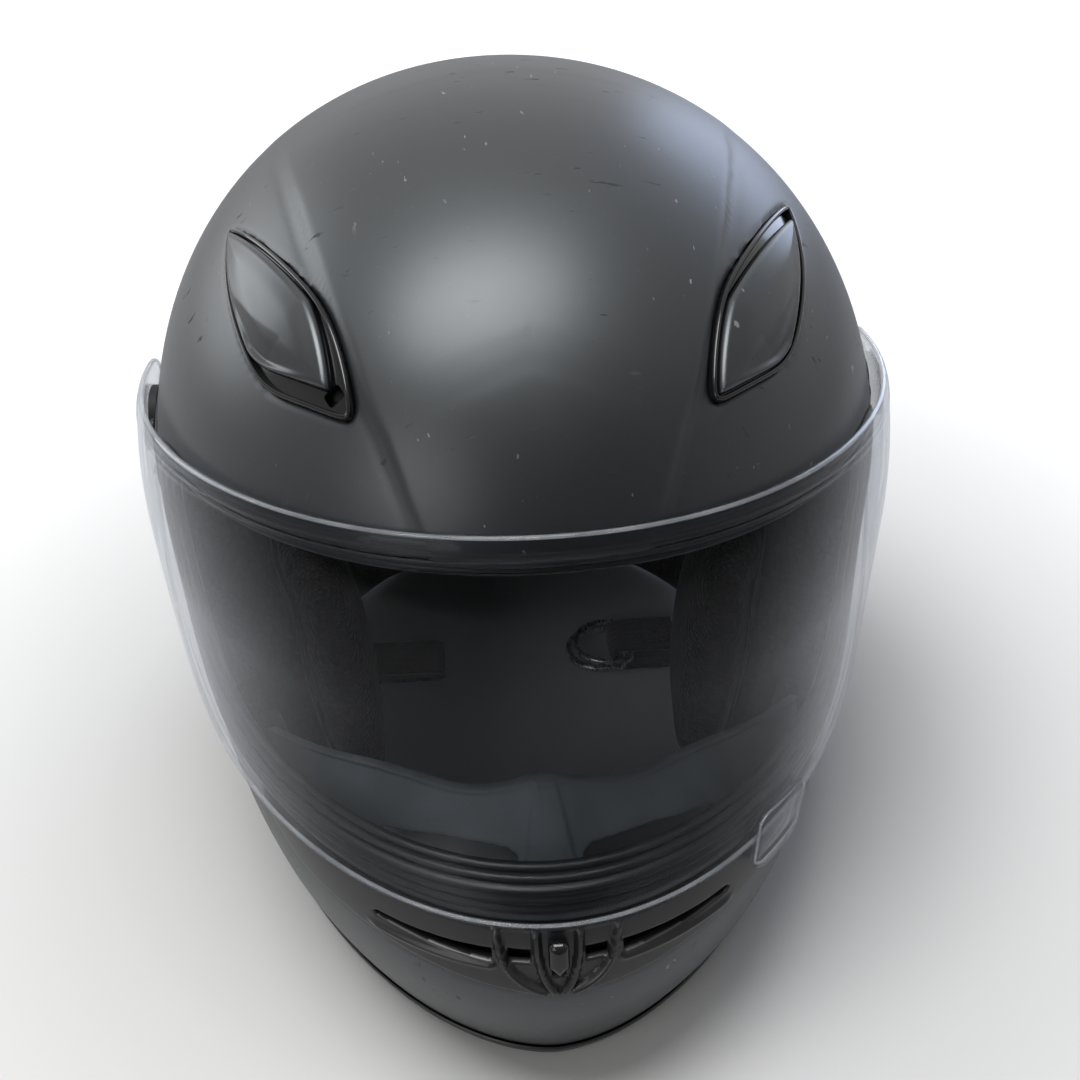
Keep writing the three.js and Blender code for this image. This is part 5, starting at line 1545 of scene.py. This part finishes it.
def retention():
    fold = STRAP_WALL + 1.2
    loop = (RING_STACK + RING_BAR) / 2 + RING_GAP + STRAP_WALL
    straps = {
        "long": ribbon(strap_path(-36, fold, -84)),
        "short": mirror_x(ribbon(strap_path(-46, loop, -70))),
    }
    for name, part in straps.items():
        obj = piece(f"strap_{name}", *part, WEBBING, "webbing", sharp=60)
        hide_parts(f"chin_strap_{name}")
    sewn = stitches(-67, -55, STRAP_FLOOR + 2 * loop + 0.1, True)
    piece("strap_stitching", *sewn, THREAD, "webbing", sharp=180, merge=0.001)
    ring_z = STRAP_FLOOR + STRAP_WALL + RING_GAP + RING_BAR / 2
    for name, x, z in (("lower", 46, ring_z), ("upper", 49, ring_z + RING_STACK)):
        ring = piece(f"d_loop_{name}", *d_ring(x, z), STEEL, "steel", f"ring_{name}", sharp=60)
        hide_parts(f"d_ring_{name}")
    spot = np.array([-70.0, STRAP_Y, STRAP_FLOOR + 2 * fold])
    cap = lathe(basis_at(spot, [1, 0, 0], [0, 1, 0], [0, 0, 1]), [
        (6.2, 0.2), (6.5, 0.6), (6.5, 1.5), (6.2, 2.2), (5.4, 2.8), (4.6, 3.0), (4.2, 2.7), (2.5, 2.6),
        (0.01, 2.6),
    ], 48)
    snap = piece("snap_cap", *cap, SATIN, "satin_plastic", sharp=50)
    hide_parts("strap_snap")
    basis = side_basis(STRAP_Y, 40.0)
    rivet = lathe(basis, [
        (3, -12), (3, -0.4), (6.4, -0.4), (6.5, 0.1), (6.2, 0.6), (5.0, 0.95), (2.6, 1.2), (0.01, 1.25),
    ], 48)
    inner = [(0.01, -11.6), (4.5, -11.6), (6.2, -11.0), (6.5, -10.4), (6.5, -10.0), (3, -9.9)]
    both = joined(rivet, lathe(basis, inner, 40))
    for side, flip in (("left", False), ("right", True)):
        obj = piece(f"shell_rivet_{side}", *turned(both, flip), DARK_STEEL, "steel", sharp=40)
        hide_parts(f"strap_rivet_{side}")


# ---------------------------------------------------------------- parts that keep their CAD shape


def carried_over():
    looks = {
        "chin_vent_shutter": INNER, "chin_vent_filter": FOAM,
        "cheek_pad_plate_left": INNER, "cheek_pad_plate_right": INNER,
        "strap_anchor_left": SCREW, "strap_anchor_right": SCREW,
    }
    for node, material in looks.items():
        obj = frame["nodes"][node]
        obj.data.materials.clear()
        obj.data.materials.append(material)
        for place_in in obj.material_slots:
            place_in.material = material


# ---------------------------------------------------------------- studio


AMBIENT = 0.25
ROOM_DIM, ROOM_BRIGHT = 0.1, 0.95
FLOOR_REACH, FLOOR_DROP = 6.0, 0.0005
AIM = Vector((0, 0, 0.12))
LAMPS = (
    ("key", (-0.26, -0.08, 1.85), (0.85, 1.35), 26.0, (1.0, 0.995, 0.985)),
    ("front", (-0.95, -1.15, 0.95), (0.9, 0.9), 4.4, (1.0, 0.98, 0.96)),
    ("left", (-1.4, 0.9, 0.8), (1.1, 1.1), 8.0, (0.97, 0.985, 1.0)),
    ("right", (0.95, 1.4, 0.65), (0.9, 0.9), 5.5, (0.6, 0.72, 1.0)),
)


def ground(scene):
    mesh = bpy.data.meshes.new("floor")
    corners = [(-1, -1), (1, -1), (1, 1), (-1, 1)]
    mesh.from_pydata([(x * FLOOR_REACH, y * FLOOR_REACH, 0) for x, y in corners], [], [(0, 1, 2, 3)])
    floor = bpy.data.objects.new("floor", mesh)
    floor.location = (0, 0, -FLOOR_DROP)
    mesh.materials.append(floor_material())
    scene.collection.objects.link(floor)


def surroundings(scene):
    """White to the camera. Reflections see a room that dims from the rear to the front."""
    scene.world = bpy.data.worlds.new("studio_world")
    scene.world.use_nodes = True
    n = Tree(scene.world.node_tree)
    background = n.tree.nodes["Background"]
    rays = n.add("ShaderNodeLightPath").outputs
    heading = n.add("ShaderNodeTexCoord").outputs["Generated"]
    rearward = n.add("ShaderNodeSeparateXYZ", {"Vector": heading}).outputs["Y"]
    room = n.ramp(rearward, -1, 1, ROOM_DIM, ROOM_BRIGHT)
    seen_in = n.math("MAXIMUM", rays["Is Glossy Ray"], rays["Is Transmission Ray"])
    shown = n.math("MULTIPLY", seen_in, n.math("SUBTRACT", room, AMBIENT))
    lit = n.math("ADD", AMBIENT, shown)
    white = n.math("MULTIPLY", rays["Is Camera Ray"], 1 - AMBIENT)
    n.set(background.inputs["Strength"], n.math("ADD", lit, white))
    background.inputs["Color"].default_value = (1, 1, 1, 1)


def studio():
    scene = bpy.context.scene
    scene.view_settings.view_transform = "Standard"
    ground(scene)
    surroundings(scene)
    for name, spot, size, power, colour in LAMPS:
        light = bpy.data.lights.new(name, "AREA")
        light.shape, light.energy, light.color = "ELLIPSE", power, colour
        light.size, light.size_y = size
        lamp = bpy.data.objects.new(name, light)
        lamp.location = spot
        lamp.rotation_euler = (AIM - Vector(spot)).to_track_quat("-Z", "Y").to_euler()
        scene.collection.objects.link(lamp)


BUILDERS = (
    outer_shell, lower_trim, gasket, visor_shield, visor_tab, visor_edges, visor_collars, top_vents,
    chin_cover, chin_slider, exhaust_cover, base_plates, impact_liner, chin_liner, crown_liner,
    cheek_pads, neck_roll, breath_guard, retention, carried_over, studio,
)
for build in BUILDERS:
    build()
